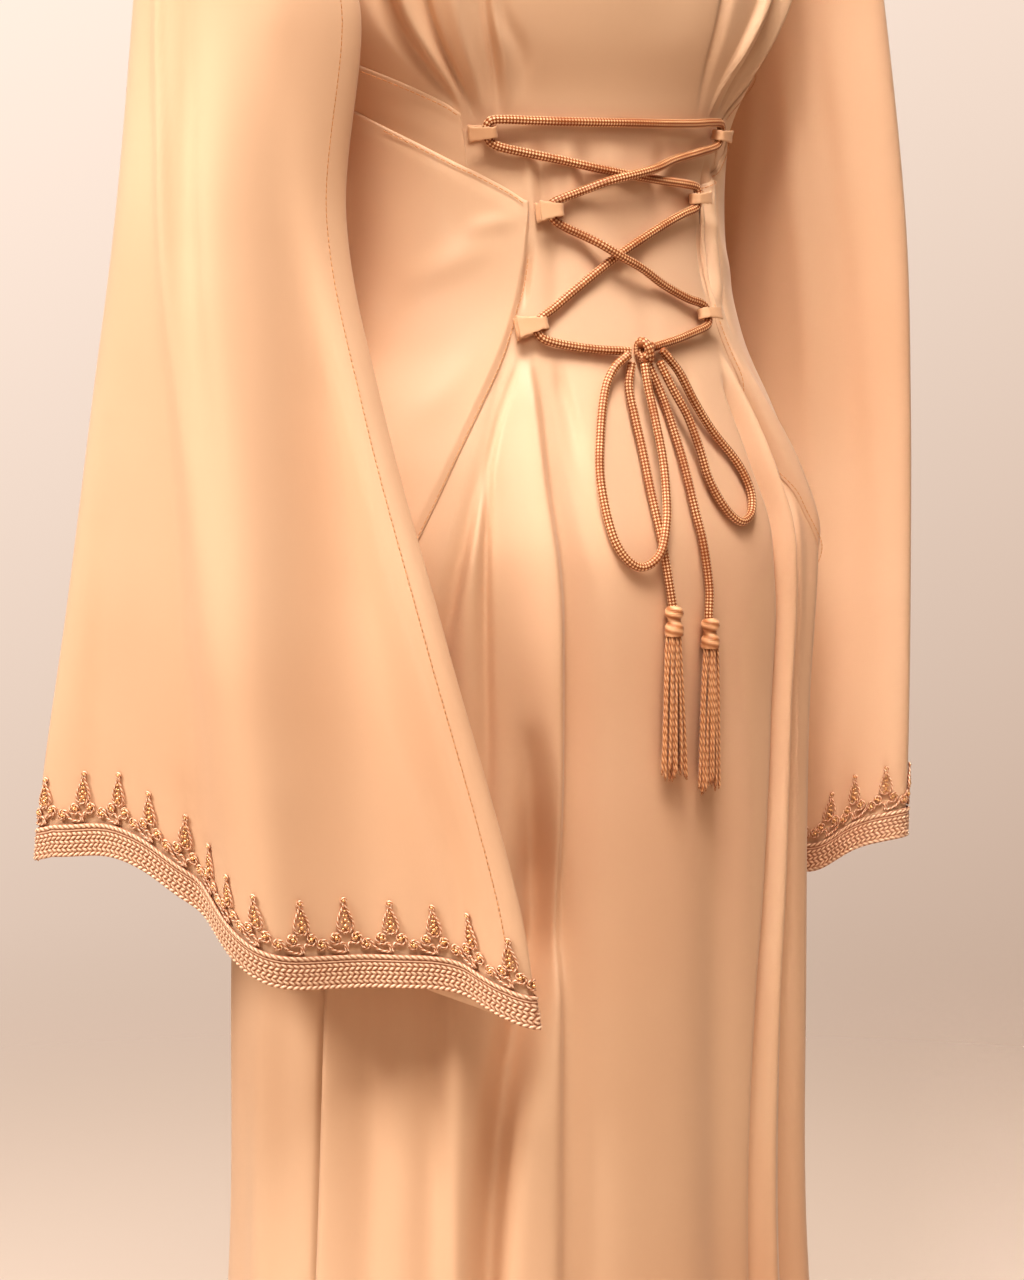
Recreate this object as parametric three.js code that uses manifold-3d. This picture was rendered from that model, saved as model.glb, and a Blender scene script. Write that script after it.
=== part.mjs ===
// A floor-length kaftan whose waist is drawn in at the back by a laced cord.
// Millimetres, +Z up. The fronts face -Y, the back is +Y, the wearer's left is +X.
// The origin is at the top of the shoulders, on the garment's middle line.
import * as THREE from 'three';
import { mergeVertices } from 'three/addons/utils/BufferGeometryUtils.js';
import Module from 'manifold-3d';

const wasm = await Module();
wasm.setup();

// ---------------------------------------------------------------- driving dimensions
const CLOTH = 1.5;            // wall of the satin
const SEAM = 0.3;             // gap between two pieces at a seam
const OVERLAY = 0.9;          // gap under a piece that lies on another
const HEM_Z = -1440;          // floor hem
const YOKE_Z = -245;          // level of the underarms, where the columns start to round over
const NECK_HALF_WIDTH = 78;
const NECK_BACK_DEPTH = 62;   // how far behind the middle line the neck runs
const NECK_FRONT_DEPTH = 72;
const NECK_BACK_DROP = 4;
const NECK_FRONT_DROP = 85;
const NECK_ROUND = 1.4;       // power that rounds the neckline's drop
const YOKE_ROUND = 1.6;       // power by which the columns lean in to the top edge
const ARMHOLE = { x: 195, topX: 192, bottom: -222, top: -44, halfDepth: 70 };
const NECK_SHARE = 0.25;      // share of a half panel's top edge that is neckline
const SHOULDER_SHARE = 0.58;  // share at which the shoulder seam ends in the armhole

const SATIN = { color: 0xe9bb92, roughness: 0.42, metalness: 0 };
const CORD = { color: 0xc9895a, roughness: 0.55, metalness: 0.1 };

// Sections of the body: half width, depth behind and depth in front of the middle line.
const BODY = [
  { z: -1440, half: 238, back: 198, front: 190 },
  { z: -1250, half: 209, back: 172, front: 166 },
  { z: -1060, half: 188, back: 152, front: 148 },
  { z: -870, half: 185, back: 148, front: 142 },
  { z: -720, half: 184, back: 148, front: 134 },
  { z: -620, half: 187, back: 149, front: 124 },
  { z: -573, half: 175, back: 138, front: 118 },
  { z: -537, half: 158, back: 127, front: 113 },
  { z: -500, half: 140, back: 116, front: 108 },
  { z: -455, half: 130, back: 106, front: 104 },
  { z: -400, half: 130, back: 102, front: 104 },
  { z: -365, half: 140, back: 104, front: 110 },
  { z: -325, half: 168, back: 116, front: 122 },
  { z: -290, half: 182, back: 122, front: 127 },
  { z: -245, half: 184, back: 120, front: 126 },
];

// Levels at which the body's wall has a ring of points.
const BODY_LEVELS = [
  -1440, -1250, -1060, -930, -820, -740, -670, -620, -580, -545,
  -510, -475, -440, -405, -372, -340, -305, -272, -245,
];

// Angle of the side seams from the centre back, in degrees.
const SIDE_SEAM = [
  { z: -1440, angle: 73 },
  { z: -1030, angle: 70 },
  { z: -870, angle: 68 },
  { z: -640, angle: 66 },
  { z: -400, angle: 74 },
  { z: -245, angle: 90 },
];

// Folds of the body. Each runs through three heights at the given angles, is `width`
// degrees wide and stands `out` mm proud (or is that deep, if negative).
const BODY_FOLDS = [
  { z: [-515, -660, -1440], angle: [33, 41, 45], width: 3.6, out: -5 },
  { z: [-515, -640, -1440], angle: [29.5, 31, 32], width: 5.5, out: 7 },
  { z: [-520, -660, -1440], angle: [26, 21, 25], width: 5.0, out: -5 },
  { z: [-520, -640, -1440], angle: [-20, -25, -15], width: 5.0, out: 3 },
  { z: [-515, -640, -1440], angle: [-25, -31, -20], width: 3.6, out: -7 },
  { z: [-515, -640, -1440], angle: [-29, -37, -29], width: 4.5, out: 8 },
  { z: [-560, -720, -1440], angle: [-38, -46, -40], width: 4.5, out: -6 },
  { z: [-640, -860, -1440], angle: [-50, -56, -54], width: 6.0, out: 5 },
  { z: [-700, -900, -1440], angle: [3, 2, -2], width: 8.0, out: 8 },
  { z: [-760, -980, -1440], angle: [58, 60, 60], width: 5.0, out: -7 },
  { z: [-760, -980, -1440], angle: [84, 85, 86], width: 7.0, out: 7 },
  { z: [-760, -980, -1440], angle: [-84, -85, -86], width: 7.0, out: 7 },
  { z: [-720, -960, -1440], angle: [112, 118, 122], width: 6.0, out: -8 },
  { z: [-720, -960, -1440], angle: [-112, -116, -124], width: 6.0, out: -8 },
  { z: [-640, -900, -1440], angle: [146, 148, 146], width: 7.0, out: 8 },
  { z: [-640, -900, -1440], angle: [-143, -146, -150], width: 7.0, out: 8 },
  { z: [-252, -310, -362], angle: [50, 44, 39], width: 4.5, out: -5 },
  { z: [-252, -310, -362], angle: [40, 37, 36], width: 3.5, out: 5 },
  { z: [-252, -310, -362], angle: [-29, -31, -33], width: 3.5, out: -4 },
  { z: [-252, -310, -362], angle: [-38, -38, -37], width: 4.0, out: 6 },
  { z: [-252, -310, -362], angle: [-50, -47, -43], width: 4.0, out: -5 },
];
const FOLD_FADE = 70;         // height over which a fold grows to its full depth
const BODICE_FOLDS_Z = -300;  // folds that start above this end at the waist
const BODICE_FADE = 30;

// Edges of the pieces laid over the waist: heights of the top and lower edge at angles from
// the edge that carries the loops round to the seam on the front.
const HIP_LEFT = [
  { angle: 26.6, top: -419, low: -432 }, { angle: 28.2, top: -417.6, low: -456 },
  { angle: 30, top: -415, low: -477 }, { angle: 33, top: -411, low: -502 },
  { angle: 36.5, top: -407, low: -526 }, { angle: 40, top: -403, low: -551 },
  { angle: 45, top: -398, low: -588 }, { angle: 51, top: -391.5, low: -624 },
  { angle: 58, top: -384, low: -648 }, { angle: 66, top: -376, low: -663 },
  { angle: 74, top: -368, low: -672 }, { angle: 82, top: -361, low: -677 },
  { angle: 90, top: -356, low: -680 },
];
const HIP_RIGHT = [
  { angle: 31, top: -413, low: -434 }, { angle: 31.8, top: -412, low: -462 },
  { angle: 32.6, top: -411, low: -486 }, { angle: 34, top: -410, low: -503 },
  { angle: 37, top: -406.5, low: -528 }, { angle: 40, top: -403, low: -551 },
  { angle: 45, top: -398, low: -588 }, { angle: 51, top: -391.5, low: -624 },
  { angle: 58, top: -384, low: -648 }, { angle: 66, top: -376, low: -663 },
  { angle: 74, top: -368, low: -672 }, { angle: 82, top: -361, low: -677 },
  { angle: 90, top: -356, low: -680 },
];
const BAND = [
  { angle: 42.4, top: -370.5, low: -393 }, { angle: 46, top: -364.5, low: -392 },
  { angle: 51, top: -358.5, low: -389 }, { angle: 58, top: -351, low: -382.6 },
  { angle: 66, top: -343.5, low: -374.6 }, { angle: 74, top: -338, low: -366.6 },
  { angle: 82, top: -334, low: -359.6 }, { angle: 90, top: -331, low: -354.6 },
];

// Sleeve sections: the ends of each flattened ring (under the arm and outer edge), the
// direction in which its back layer bulges (degrees from +X), and the bulge of each layer.
const SLEEVE_LEFT = [
  { t: 0.00, under: [195.6, 0, -222], outer: [192.6, 0, -44], turn: 90, back: 70, front: 70 },
  { t: 0.08, under: [203, 18, -246], outer: [216, -6, -72], turn: 74, back: 60, front: 56 },
  { t: 0.18, under: [193, 58, -280], outer: [234, -16, -170], turn: 54, back: 48, front: 30 },
  { t: 0.30, under: [164, 83, -311], outer: [242, -22, -309], turn: 39, back: 42, front: 22 },
  { t: 0.45, under: [170, 78, -427], outer: [250, -31, -427], turn: 36, back: 40, front: 22 },
  { t: 0.60, under: [161, 100, -530], outer: [260, -44, -530], turn: 34.5, back: 34, front: 16 },
  { t: 0.78, under: [143, 137, -660], outer: [271, -60, -650], turn: 33, back: 26, front: 11 },
  { t: 0.92, under: [116, 166, -800], outer: [281, -73, -745], turn: 34.5, back: 20, front: 6 },
  { t: 1.00, under: [109, 175, -870], outer: [284, -77, -796], turn: 35, back: 16, front: 5 },
];
const SLEEVE_RIGHT = [
  { t: 0.00, under: [-195.6, 0, -222], outer: [-192.6, 0, -44], turn: 90, back: 70, front: 70 },
  { t: 0.08, under: [-203, -12, -248], outer: [-218, 6, -72], turn: 84, back: 58, front: 60 },
  { t: 0.18, under: [-197, -36, -284], outer: [-244, 14, -160], turn: 66, back: 44, front: 52 },
  { t: 0.30, under: [-182, -66, -320], outer: [-262, 24, -294], turn: 48, back: 26, front: 44 },
  { t: 0.45, under: [-180, -95, -430], outer: [-284, 22, -430], turn: 42, back: 26, front: 44 },
  { t: 0.60, under: [-176, -122, -540], outer: [-290, 22, -540], turn: 38, back: 26, front: 42 },
  { t: 0.78, under: [-166, -152, -670], outer: [-292, 22, -655], turn: 35, back: 28, front: 42 },
  { t: 0.92, under: [-156, -182, -800], outer: [-292, 22, -765], turn: 33, back: 30, front: 42 },
  { t: 1.00, under: [-152, -196, -872], outer: [-290, 22, -826], turn: 32.5, back: 30, front: 42 },
];
// Folds of a sleeve: `at` is the place across the ring from under the arm (0) to the outer
// edge (1), `out` the rise of the layer at the cuff and `lift` how far the hem rises there.
const SLEEVE_LEFT_FOLDS = [
  { layer: 1, at: 0.16, width: 0.09, out: -13, lift: 5, from: 0.45 },
  { layer: 1, at: 0.46, width: 0.14, out: 26, lift: -12, from: 0.2 },
  { layer: 1, at: 0.80, width: 0.16, out: -4, lift: 20, from: 0.3 },
  { layer: -1, at: 0.36, width: 0.12, out: -6, lift: 4, from: 0.5 },
  { layer: -1, at: 0.84, width: 0.15, out: 2, lift: 24, from: 0.3 },
  { layer: -1, at: 0.70, width: 0.11, out: 9, lift: -5, from: 0.4 },
];
const SLEEVE_RIGHT_FOLDS = [
  { layer: 1, at: 0.78, width: 0.09, out: -9, lift: -14, from: 0.3 },
  { layer: 1, at: 0.45, width: 0.13, out: 8, lift: 4, from: 0.3 },
  { layer: -1, at: 0.30, width: 0.11, out: 12, lift: 6, from: 0.4 },
  { layer: -1, at: 0.66, width: 0.12, out: -10, lift: -8, from: 0.4 },
];
const SLEEVE_LEVELS = [0, 0.05, 0.11, 0.18, 0.26, 0.37, 0.50, 0.63, 0.76, 0.88];
const SLEEVE_COLUMNS = 30;
const FOLD_CLEAR = 2.5;       // how fast a fold grows from the sleeve's two edges inwards

const BRAID_HEIGHT = 19;      // braid band at the sleeve hem
const BRAID_THICK = 2.0;
const MOTIF_HEIGHT = 27;      // trefoils above the band
const MOTIF_COUNT = 27;       // round one cuff
const MOTIF_LOW = 7;          // height of the cording between two trefoils
const MOTIF_THICK = 1.8;
const TRIM_LIFT = 1.3;        // gap under the braid
const MOTIF_LIFT = 2.3;       // gap under the cording, which bridges the cloth's folds
const TRIM_GAP = 1;           // height between the braid and the cording
const TRIM_RUN_T = 0.93;      // ring towards which the trims stand up from the hem

// Cord: a round braid. Routes are rows of angle, height and lift of the cord's middle line.
const CORD_RADIUS = 2.5;
const CORD_SIDES = 8;
const CORD_STEPS = 1.5;       // rings of points for each row of a route
const LACING_LEFT = [
  [0, -374.6, 3.6], [12, -374.6, 3.6], [24, -374, 3.8], [31, -373.2, 5.0],
  [35, -373.6, 5.6], [36.4, -377, 5.7], [36.5, -381, 5.7], [36.2, -385, 5.7],
  [34, -388.4, 5.4], [28, -391.6, 4.2], [18, -396, 3.6], [6, -401.5, 3.6], [-9, -406.5, 3.6],
  [-20, -409, 4.6], [-25, -410.8, 5.5], [-26, -414, 5.7], [-26, -419.6, 5.7],
  [-24.6, -423.4, 5.5], [-19, -427, 4.4], [-9, -436, 3.6], [4, -451, 3.6], [16, -470, 3.6],
  [22, -480, 4.4], [25, -485, 5.4], [26, -489, 5.7], [26, -493, 5.7], [24.6, -496.8, 5.5],
  [20, -499.8, 4.4], [12, -502.5, 3.8], [5.2, -504, 5.4],
];
const LACING_RIGHT = [
  [-0.2, -374.6, 3.6], [-12, -374.6, 3.6], [-23, -374, 3.8], [-31, -372.8, 5.0],
  [-35.2, -373, 5.6], [-36.7, -376.2, 5.7], [-36.8, -380, 5.7], [-36.5, -384.2, 5.7],
  [-34.4, -387.4, 5.4], [-27, -390.8, 4.4], [-16, -396, 4.6], [-8, -400.4, 8.4],
  [-1, -404, 9.4], [6, -408, 8.6], [13, -413, 5.2], [17.6, -417.2, 5.0], [20.2, -420.6, 5.6],
  [20.7, -425, 5.7], [20.3, -429.2, 5.6], [18, -433, 5.0], [13, -438.6, 5.0], [9, -444, 8.4],
  [4, -451, 9.4], [-2, -458, 8.4], [-10, -467, 4.8], [-18, -475, 4.4], [-22.8, -478.4, 5.4],
  [-24.5, -482, 5.7], [-24.6, -488, 5.7], [-23, -491.8, 5.5], [-18, -494.8, 4.6],
  [-11, -498.6, 4.2], [-5.2, -502, 5.4],
];
const KNOT = { angle: 0, z: -504.5, lift: 6.6, across: 8.2, high: 7.6, deep: 6.2 };
const BOW_LEFT = [
  [5.6, -508, 8.6], [8.7, -514, 7.0], [10.9, -526, 5.2], [12.7, -551, 3.6], [13.1, -575, 3.4],
  [12.1, -604, 3.4], [9.8, -618, 3.6], [7.0, -622, 4.6], [4.2, -616, 7.4], [2.4, -600, 8.9],
  [1.3, -582, 8.9], [0.8, -563, 8.9], [1.0, -541, 9.2], [1.4, -524, 9.8], [1.6, -516.4, 10.4],
];
const BOW_RIGHT = [
  [-5.9, -507, 8.6], [-8.6, -518, 7.6], [-11.4, -534, 6.0], [-15.5, -551, 4.6],
  [-20.7, -570, 3.6], [-22.6, -586, 3.4], [-21.0, -598, 3.4], [-17.6, -602, 3.4],
  [-14.2, -595, 3.6], [-11.0, -578, 4.4], [-9.4, -560, 6.4], [-7.6, -542, 8.4],
  [-5.2, -528, 9.2], [-3.4, -515.8, 10.0],
];
const TAIL_LEFT = [
  [4.0, -515.2, 4.6], [4.6, -524, 3.8], [4.3, -540, 3.6], [3.8, -558, 3.6], [3.4, -581, 3.6],
  [2.8, -604, 3.6], [2.2, -622, 3.8], [1.4, -644, 4.8],
];
const TAIL_RIGHT = [
  [-1.7, -516.2, 4.6], [-3.6, -530, 3.8], [-4.6, -546, 3.6], [-5.4, -568, 3.6],
  [-5.9, -593, 3.8], [-6.6, -612, 3.9], [-7.6, -636, 4.0], [-7.1, -653, 4.8],
];
const TASSEL_LEFT = { angle: 1.3, top: -644.6, lift: 6.2 };
const TASSEL_RIGHT = { angle: -7.1, top: -653.6, lift: 6.2 };
// The strands hang from inside the head; every third one stands in the inner ring, and the
// ends are cut off at `uneven` mm steps.
const TASSEL = { headHeight: 17, headRadius: 5.2, length: 99, strands: 20, strandRadius: 0.8,
  spread: 10.5, depth: 5.0, inHead: 3, rootShare: 0.8, innerShare: 0.5, uneven: 3, lean: 1.5 };
// Outline of the wrapped head: radius and height as shares.
const TASSEL_HEAD = [
  { out: 0, at: 0 }, { out: 0.62, at: 0 }, { out: 1, at: 0.14 }, { out: 1.02, at: 0.32 },
  { out: 0.72, at: 0.44 }, { out: 0.74, at: 0.56 }, { out: 1, at: 0.7 }, { out: 1.04, at: 0.88 },
  { out: 0.9, at: 1 }, { out: 0, at: 1 },
];

// Loops: a folded strap that stands out of the laced edge; `root` is its sewn end.
const LOOPS = [
  { name: 'lace_loop_left_1', root: 41.2, tip: 34.1, z: -381 },
  { name: 'lace_loop_left_2', root: 25.4, tip: 18.3, z: -425 },
  { name: 'lace_loop_left_3', root: 30.4, tip: 23.7, z: -491 },
  { name: 'lace_loop_right_1', root: -41.2, tip: -34.4, z: -380.2 },
  { name: 'lace_loop_right_2', root: -30.4, tip: -23.7, z: -417 },
  { name: 'lace_loop_right_3', root: -29, tip: -22.1, z: -485.6 },
];
const LOOP = { wide: 6.6, high: 9.8, cloth: 1.2, lift: 0.9 };

// ---------------------------------------------------------------- small maths
const radians = THREE.MathUtils.degToRad;
const vector = (x, y, z) => new THREE.Vector3(x, y, z);

/** Smooth value of one column of a table at `at`: a Catmull-Rom curve through its rows. */
function smooth(rows, key, column, at) {
  const up = rows[rows.length - 1][key] > rows[0][key];
  let i = 0;
  while (i < rows.length - 2 && (up ? at > rows[i + 1][key] : at < rows[i + 1][key])) i++;
  const value = (k) => column(rows[THREE.MathUtils.clamp(k, 0, rows.length - 1)]);
  const place = (k) => rows[THREE.MathUtils.clamp(k, 0, rows.length - 1)][key];
  const span = place(i + 1) - place(i);
  const f = THREE.MathUtils.clamp((at - place(i)) / span, 0, 1);
  const slope = (k) => (k <= 0 || k >= rows.length - 1
    ? (value(Math.min(k + 1, rows.length - 1)) - value(Math.max(k - 1, 0)))
      / (place(Math.min(k + 1, rows.length - 1)) - place(Math.max(k - 1, 0)))
    : (value(k + 1) - value(k - 1)) / (place(k + 1) - place(k - 1)));
  const f2 = f * f;
  const f3 = f2 * f;
  return (2 * f3 - 3 * f2 + 1) * value(i) + (f3 - 2 * f2 + f) * span * slope(i)
    + (3 * f2 - 2 * f3) * value(i + 1) + (f3 - f2) * span * slope(i + 1);
}

/** Straight-line value of y at x through the points (xs, ys), held at the ends. */
function linear(xs, ys, x) {
  const up = xs[xs.length - 1] > xs[0];
  let i = 0;
  while (i < xs.length - 2 && (up ? x > xs[i + 1] : x < xs[i + 1])) i++;
  const f = THREE.MathUtils.clamp((x - xs[i]) / (xs[i + 1] - xs[i]), 0, 1);
  return ys[i] + (ys[i + 1] - ys[i]) * f;
}

const ease = (f) => {
  const x = THREE.MathUtils.clamp(f, 0, 1);
  return x * x * (3 - 2 * x);
};

// ---------------------------------------------------------------- surfaces
/** How far the folds lift the body's surface at an angle and height. */
function bodyFold(angle, z) {
  let out = 0;
  for (const fold of BODY_FOLDS) {
    const from = fold.z[0];
    const grown = ease((from - z) / FOLD_FADE);
    const kept = from > BODICE_FOLDS_Z ? ease((z - fold.z[2]) / BODICE_FADE) : 1;
    const off = (angle - linear(fold.z, fold.angle, z)) / fold.width;
    out += fold.out * grown * kept * Math.exp(-off * off);
  }
  return out;
}

/** Point of the body below the underarms: an ellipse at height z, moved out by its folds. */
function bodyPoint(angle, z) {
  const half = smooth(BODY, 'z', (row) => row.half, z);
  const back = smooth(BODY, 'z', (row) => row.back, z);
  const front = smooth(BODY, 'z', (row) => row.front, z);
  const s = Math.sin(radians(angle));
  const c = Math.cos(radians(angle));
  const depth = c > 0 ? back : front;
  const out = bodyFold(angle, z);
  return vector((half + out) * s, (depth + out) * c, z);
}

const seamAngle = (z) => smooth(SIDE_SEAM, 'z', (row) => row.angle, z);

/** Top edge of half a panel: neckline, shoulder seam, then half of the armhole. */
function topEdge(share, behind) {
  const s = Math.min(Math.max(share, 0), 1);
  if (s < NECK_SHARE) {
    const turn = radians(90 * s / NECK_SHARE);
    const depth = behind ? NECK_BACK_DEPTH : NECK_FRONT_DEPTH;
    const drop = behind ? NECK_BACK_DROP : NECK_FRONT_DROP;
    return vector(NECK_HALF_WIDTH * Math.sin(turn), depth * Math.cos(turn) + SEAM / 2,
      -drop * Math.cos(turn) ** NECK_ROUND);
  }
  if (s < SHOULDER_SHARE) {
    const f = (s - NECK_SHARE) / (SHOULDER_SHARE - NECK_SHARE);
    return vector(NECK_HALF_WIDTH + (ARMHOLE.topX - NECK_HALF_WIDTH) * f, SEAM / 2,
      ARMHOLE.top * f);
  }
  const turn = Math.PI * (1 - (s - SHOULDER_SHARE) / (1 - SHOULDER_SHARE));
  const middle = (ARMHOLE.top + ARMHOLE.bottom) / 2;
  const reach = (ARMHOLE.top - ARMHOLE.bottom) / 2;
  const rise = (1 - Math.cos(turn)) / 2;
  return vector(ARMHOLE.x + (ARMHOLE.topX - ARMHOLE.x) * rise,
    ARMHOLE.halfDepth * Math.sin(turn) + SEAM / 2, middle - reach * Math.cos(turn));
}

/**
 * Point of a panel. `share` runs from the centre (0) to the side seam (1, or -1 on the
 * wearer's right) and `level` is a height up to the yoke, then 0 to 1 above it, where each
 * column is a quarter of an ellipse from the yoke to the top edge.
 */
function panelPoint(share, level, behind) {
  const right = Math.sign(share) || 1;
  const size = Math.abs(share);
  const angleAt = (z) => (behind ? size * seamAngle(z) : 180 - size * (180 - seamAngle(z)));
  if (level <= 0) {
    return bodyPoint(right * angleAt(level), level);
  }
  const foot = bodyPoint(right * angleAt(YOKE_Z), YOKE_Z);
  const top = topEdge(size, behind);
  const turn = radians(90 * level);
  const side = behind ? 1 : -1;
  return vector(
    foot.x + (right * top.x - foot.x) * level ** YOKE_ROUND,
    side * top.y + (foot.y - side * top.y) * Math.cos(turn),
    foot.z + (top.z - foot.z) * Math.sin(turn),
  );
}

/** Point of a sleeve ring: place across the flattened ring, then out by the layer's bulge. */
function sleevePoint(rows, folds, around, t) {
  const row = (pick) => smooth(rows, 't', pick, t);
  const under = vector(...[0, 1, 2].map((k) => row((r) => r.under[k])));
  const outer = vector(...[0, 1, 2].map((k) => row((r) => r.outer[k])));
  const turn = radians(row((r) => r.turn));
  const across = (1 - Math.cos(2 * Math.PI * around)) / 2;
  const bow = Math.sin(2 * Math.PI * around);
  const layer = bow >= 0 ? 1 : -1;
  const clear = Math.min(1, FOLD_CLEAR * Math.abs(bow));
  let out = bow * row((r) => (layer > 0 ? r.back : r.front));
  let lift = 0;
  for (const fold of folds) {
    const off = (across - fold.at) / fold.width;
    const grown = ease((t - fold.from) / (1 - fold.from)) * Math.exp(-off * off);
    if (fold.layer === layer) {
      out += layer * fold.out * grown * clear;
      lift += fold.lift * grown * t * clear;
    }
  }
  return under.lerp(outer, across)
    .add(vector(Math.cos(turn) * out, Math.sin(turn) * out, lift));
}

// ---------------------------------------------------------------- solids
/** A closed mesh with outward faces from points and triangles. */
function closedGeometry(points, triangles) {
  let volume = 0;
  for (const [a, b, c] of triangles) {
    volume += points[a].dot(vector(0, 0, 0).crossVectors(points[b], points[c]));
  }
  const geometry = new THREE.BufferGeometry();
  geometry.setAttribute('position',
    new THREE.Float32BufferAttribute(points.flatMap((p) => [p.x, p.y, p.z]), 3));
  geometry.setIndex(triangles.flatMap(([a, b, c]) => (volume > 0 ? [a, b, c] : [a, c, b])));
  return geometry;
}

/** Outward normals of rings of points, from the neighbours of each point. */
function ringNormals(rings) {
  const rows = rings.length;
  const columns = rings[0].length;
  const normals = rings.map((ring, i) => ring.map((point, j) => {
    const along = vector(0, 0, 0)
      .subVectors(ring[(j + 1) % columns], ring[(j + columns - 1) % columns]);
    const up = vector(0, 0, 0).subVectors(
      rings[Math.min(i + 1, rows - 1)][j], rings[Math.max(i - 1, 0)][j]);
    return along.cross(up).normalize();
  }));
  const outward = (ring, i) => {
    const middle = ring.reduce((sum, point) => sum.add(point), vector(0, 0, 0))
      .divideScalar(columns);
    return ring.reduce((sum, point, j) => sum + normals[i][j].dot(point.clone().sub(middle)), 0);
  };
  const total = rings.reduce((sum, ring, i) => sum + outward(ring, i), 0);
  if (total < 0) normals.forEach((line) => line.forEach((normal) => normal.negate()));
  return normals;
}

/** Wall between a grid moved out by `outer` and the same grid moved out by `inner`. */
function wall(grid, normals, inner, outer, ring) {
  const rows = grid.length;
  const columns = grid[0].length;
  const moved = (far) => grid.flatMap((line, i) => line.map(
    (point, j) => point.clone().addScaledVector(normals[i][j], far)));
  const points = [...moved(outer), ...moved(inner)];
  const shift = rows * columns;
  const triangles = [];
  const quad = (a, b, c, d) => triangles.push([a, b, c], [a, c, d]);
  const at = (i, j) => i * columns + (j % columns);
  const cells = ring ? columns : columns - 1;
  for (let i = 0; i < rows - 1; i++) {
    for (let j = 0; j < cells; j++) {
      quad(at(i, j), at(i, j + 1), at(i + 1, j + 1), at(i + 1, j));
      quad(shift + at(i, j), shift + at(i + 1, j), shift + at(i + 1, j + 1),
        shift + at(i, j + 1));
    }
  }
  for (let j = 0; j < cells; j++) {
    quad(at(0, j + 1), at(0, j), shift + at(0, j), shift + at(0, j + 1));
    quad(at(rows - 1, j), at(rows - 1, j + 1), shift + at(rows - 1, j + 1),
      shift + at(rows - 1, j));
  }
  if (!ring) {
    for (let i = 0; i < rows - 1; i++) {
      quad(at(i, 0), at(i + 1, 0), shift + at(i + 1, 0), shift + at(i, 0));
      quad(at(i + 1, columns - 1), at(i, columns - 1), shift + at(i, columns - 1),
        shift + at(i + 1, columns - 1));
    }
  }
  return closedGeometry(points, triangles);
}

// ---------------------------------------------------------------- body panels
const group = new THREE.Group();

function addPiece(name, geometry, finish) {
  const piece = new THREE.Mesh(geometry, new THREE.MeshStandardMaterial(finish));
  piece.name = name;
  group.add(piece);
}

const YOKE_STEPS = [0.22, 0.44, 0.64, 0.82, 1];
const HALF_BACK_CELLS = 13;   // columns of facets across half the back, and a front
const FRONT_CELLS = 12;
const SEAM_SHARE = 0.001;     // half a seam, as a share of a panel's half width
const SHARE_STEP = 0.004;     // share over which a panel's slope is measured
const NORMAL_RISE = 60;       // every outward normal points away from a line this far down

/** Outward normal of a panel; along a seam above the yoke it lies in the seam's plane. */
function panelNormal(share, level, behind) {
  const [step, least, most] = level > 0 ? [0.01, 0.01, 1] : [1.5, HEM_Z, YOKE_Z];
  const up = panelPoint(share, Math.min(level + step, most), behind)
    .sub(panelPoint(share, Math.max(level - step, least), behind));
  const along = panelPoint(share + SHARE_STEP, level, behind)
    .sub(panelPoint(share - SHARE_STEP, level, behind));
  const normal = up.cross(along);
  const onShoulder = level === 1 && Math.abs(share) > NECK_SHARE;
  if (onShoulder || (level > 0 && Math.abs(share) > 0.99)) normal.setY(0);
  normal.normalize();
  const point = panelPoint(share, level, behind);
  return normal.dot(point.setZ(NORMAL_RISE)) < 0 ? normal.negate() : normal;
}

/** One body panel between two shares of its half width. */
function bodyPanel(name, shares, behind) {
  const levels = [...BODY_LEVELS, ...YOKE_STEPS];
  const grid = levels.map((level) => shares.map((s) => panelPoint(s, level, behind)));
  const normals = levels.map((level) => shares.map((s) => panelNormal(s, level, behind)));
  addPiece(name, wall(grid, normals, -CLOTH, 0, false), SATIN);
}

/** Values from a to b in n steps. */
const spread = (a, b, n) => Array.from({ length: n + 1 }, (_, i) => a + (b - a) * i / n);
const side = 1 - SEAM_SHARE;
bodyPanel('back', spread(-side, side, 2 * HALF_BACK_CELLS), true);
bodyPanel('front_left', spread(side, SEAM_SHARE, FRONT_CELLS), false);
bodyPanel('front_right', spread(-side, -SEAM_SHARE, FRONT_CELLS), false);

// ---------------------------------------------------------------- pieces laid on the body
/** Point on the flat facets of the panels, where the pieces laid on them rest. */
function facetPoint(angle, z) {
  const ring = (level) => {
    const size = Math.abs(angle);
    const seam = seamAngle(level);
    const behind = size <= seam;
    const cells = behind ? HALF_BACK_CELLS : FRONT_CELLS;
    const column = cells * (behind ? size / seam : (180 - size) / (180 - seam));
    const first = Math.min(Math.floor(column), cells - 1);
    const corner = (k) => panelPoint((Math.sign(angle) || 1) * k / cells, level, behind);
    return corner(first).lerp(corner(first + 1), column - first);
  };
  const high = Math.max(1, BODY_LEVELS.findIndex((level) => level >= z));
  const [low, top] = [BODY_LEVELS[high - 1], BODY_LEVELS[high]];
  return ring(low).lerp(ring(top), (z - low) / (top - low));
}

/** Outward normal of the body's surface. */
function bodyNormal(angle, z) {
  const along = bodyPoint(angle + 0.5, z).sub(bodyPoint(angle - 0.5, z));
  const up = bodyPoint(angle, z + 1.5).sub(bodyPoint(angle, z - 1.5));
  const normal = up.cross(along).normalize();
  return normal.dot(bodyPoint(angle, z).setZ(0)) < 0 ? normal.negate() : normal;
}

const ROW_PRESSED = 0.5;      // height between rows that run past an edge of the piece
const COLUMN_WIDEST = 4;      // degrees between two columns of a piece laid on the body

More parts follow.
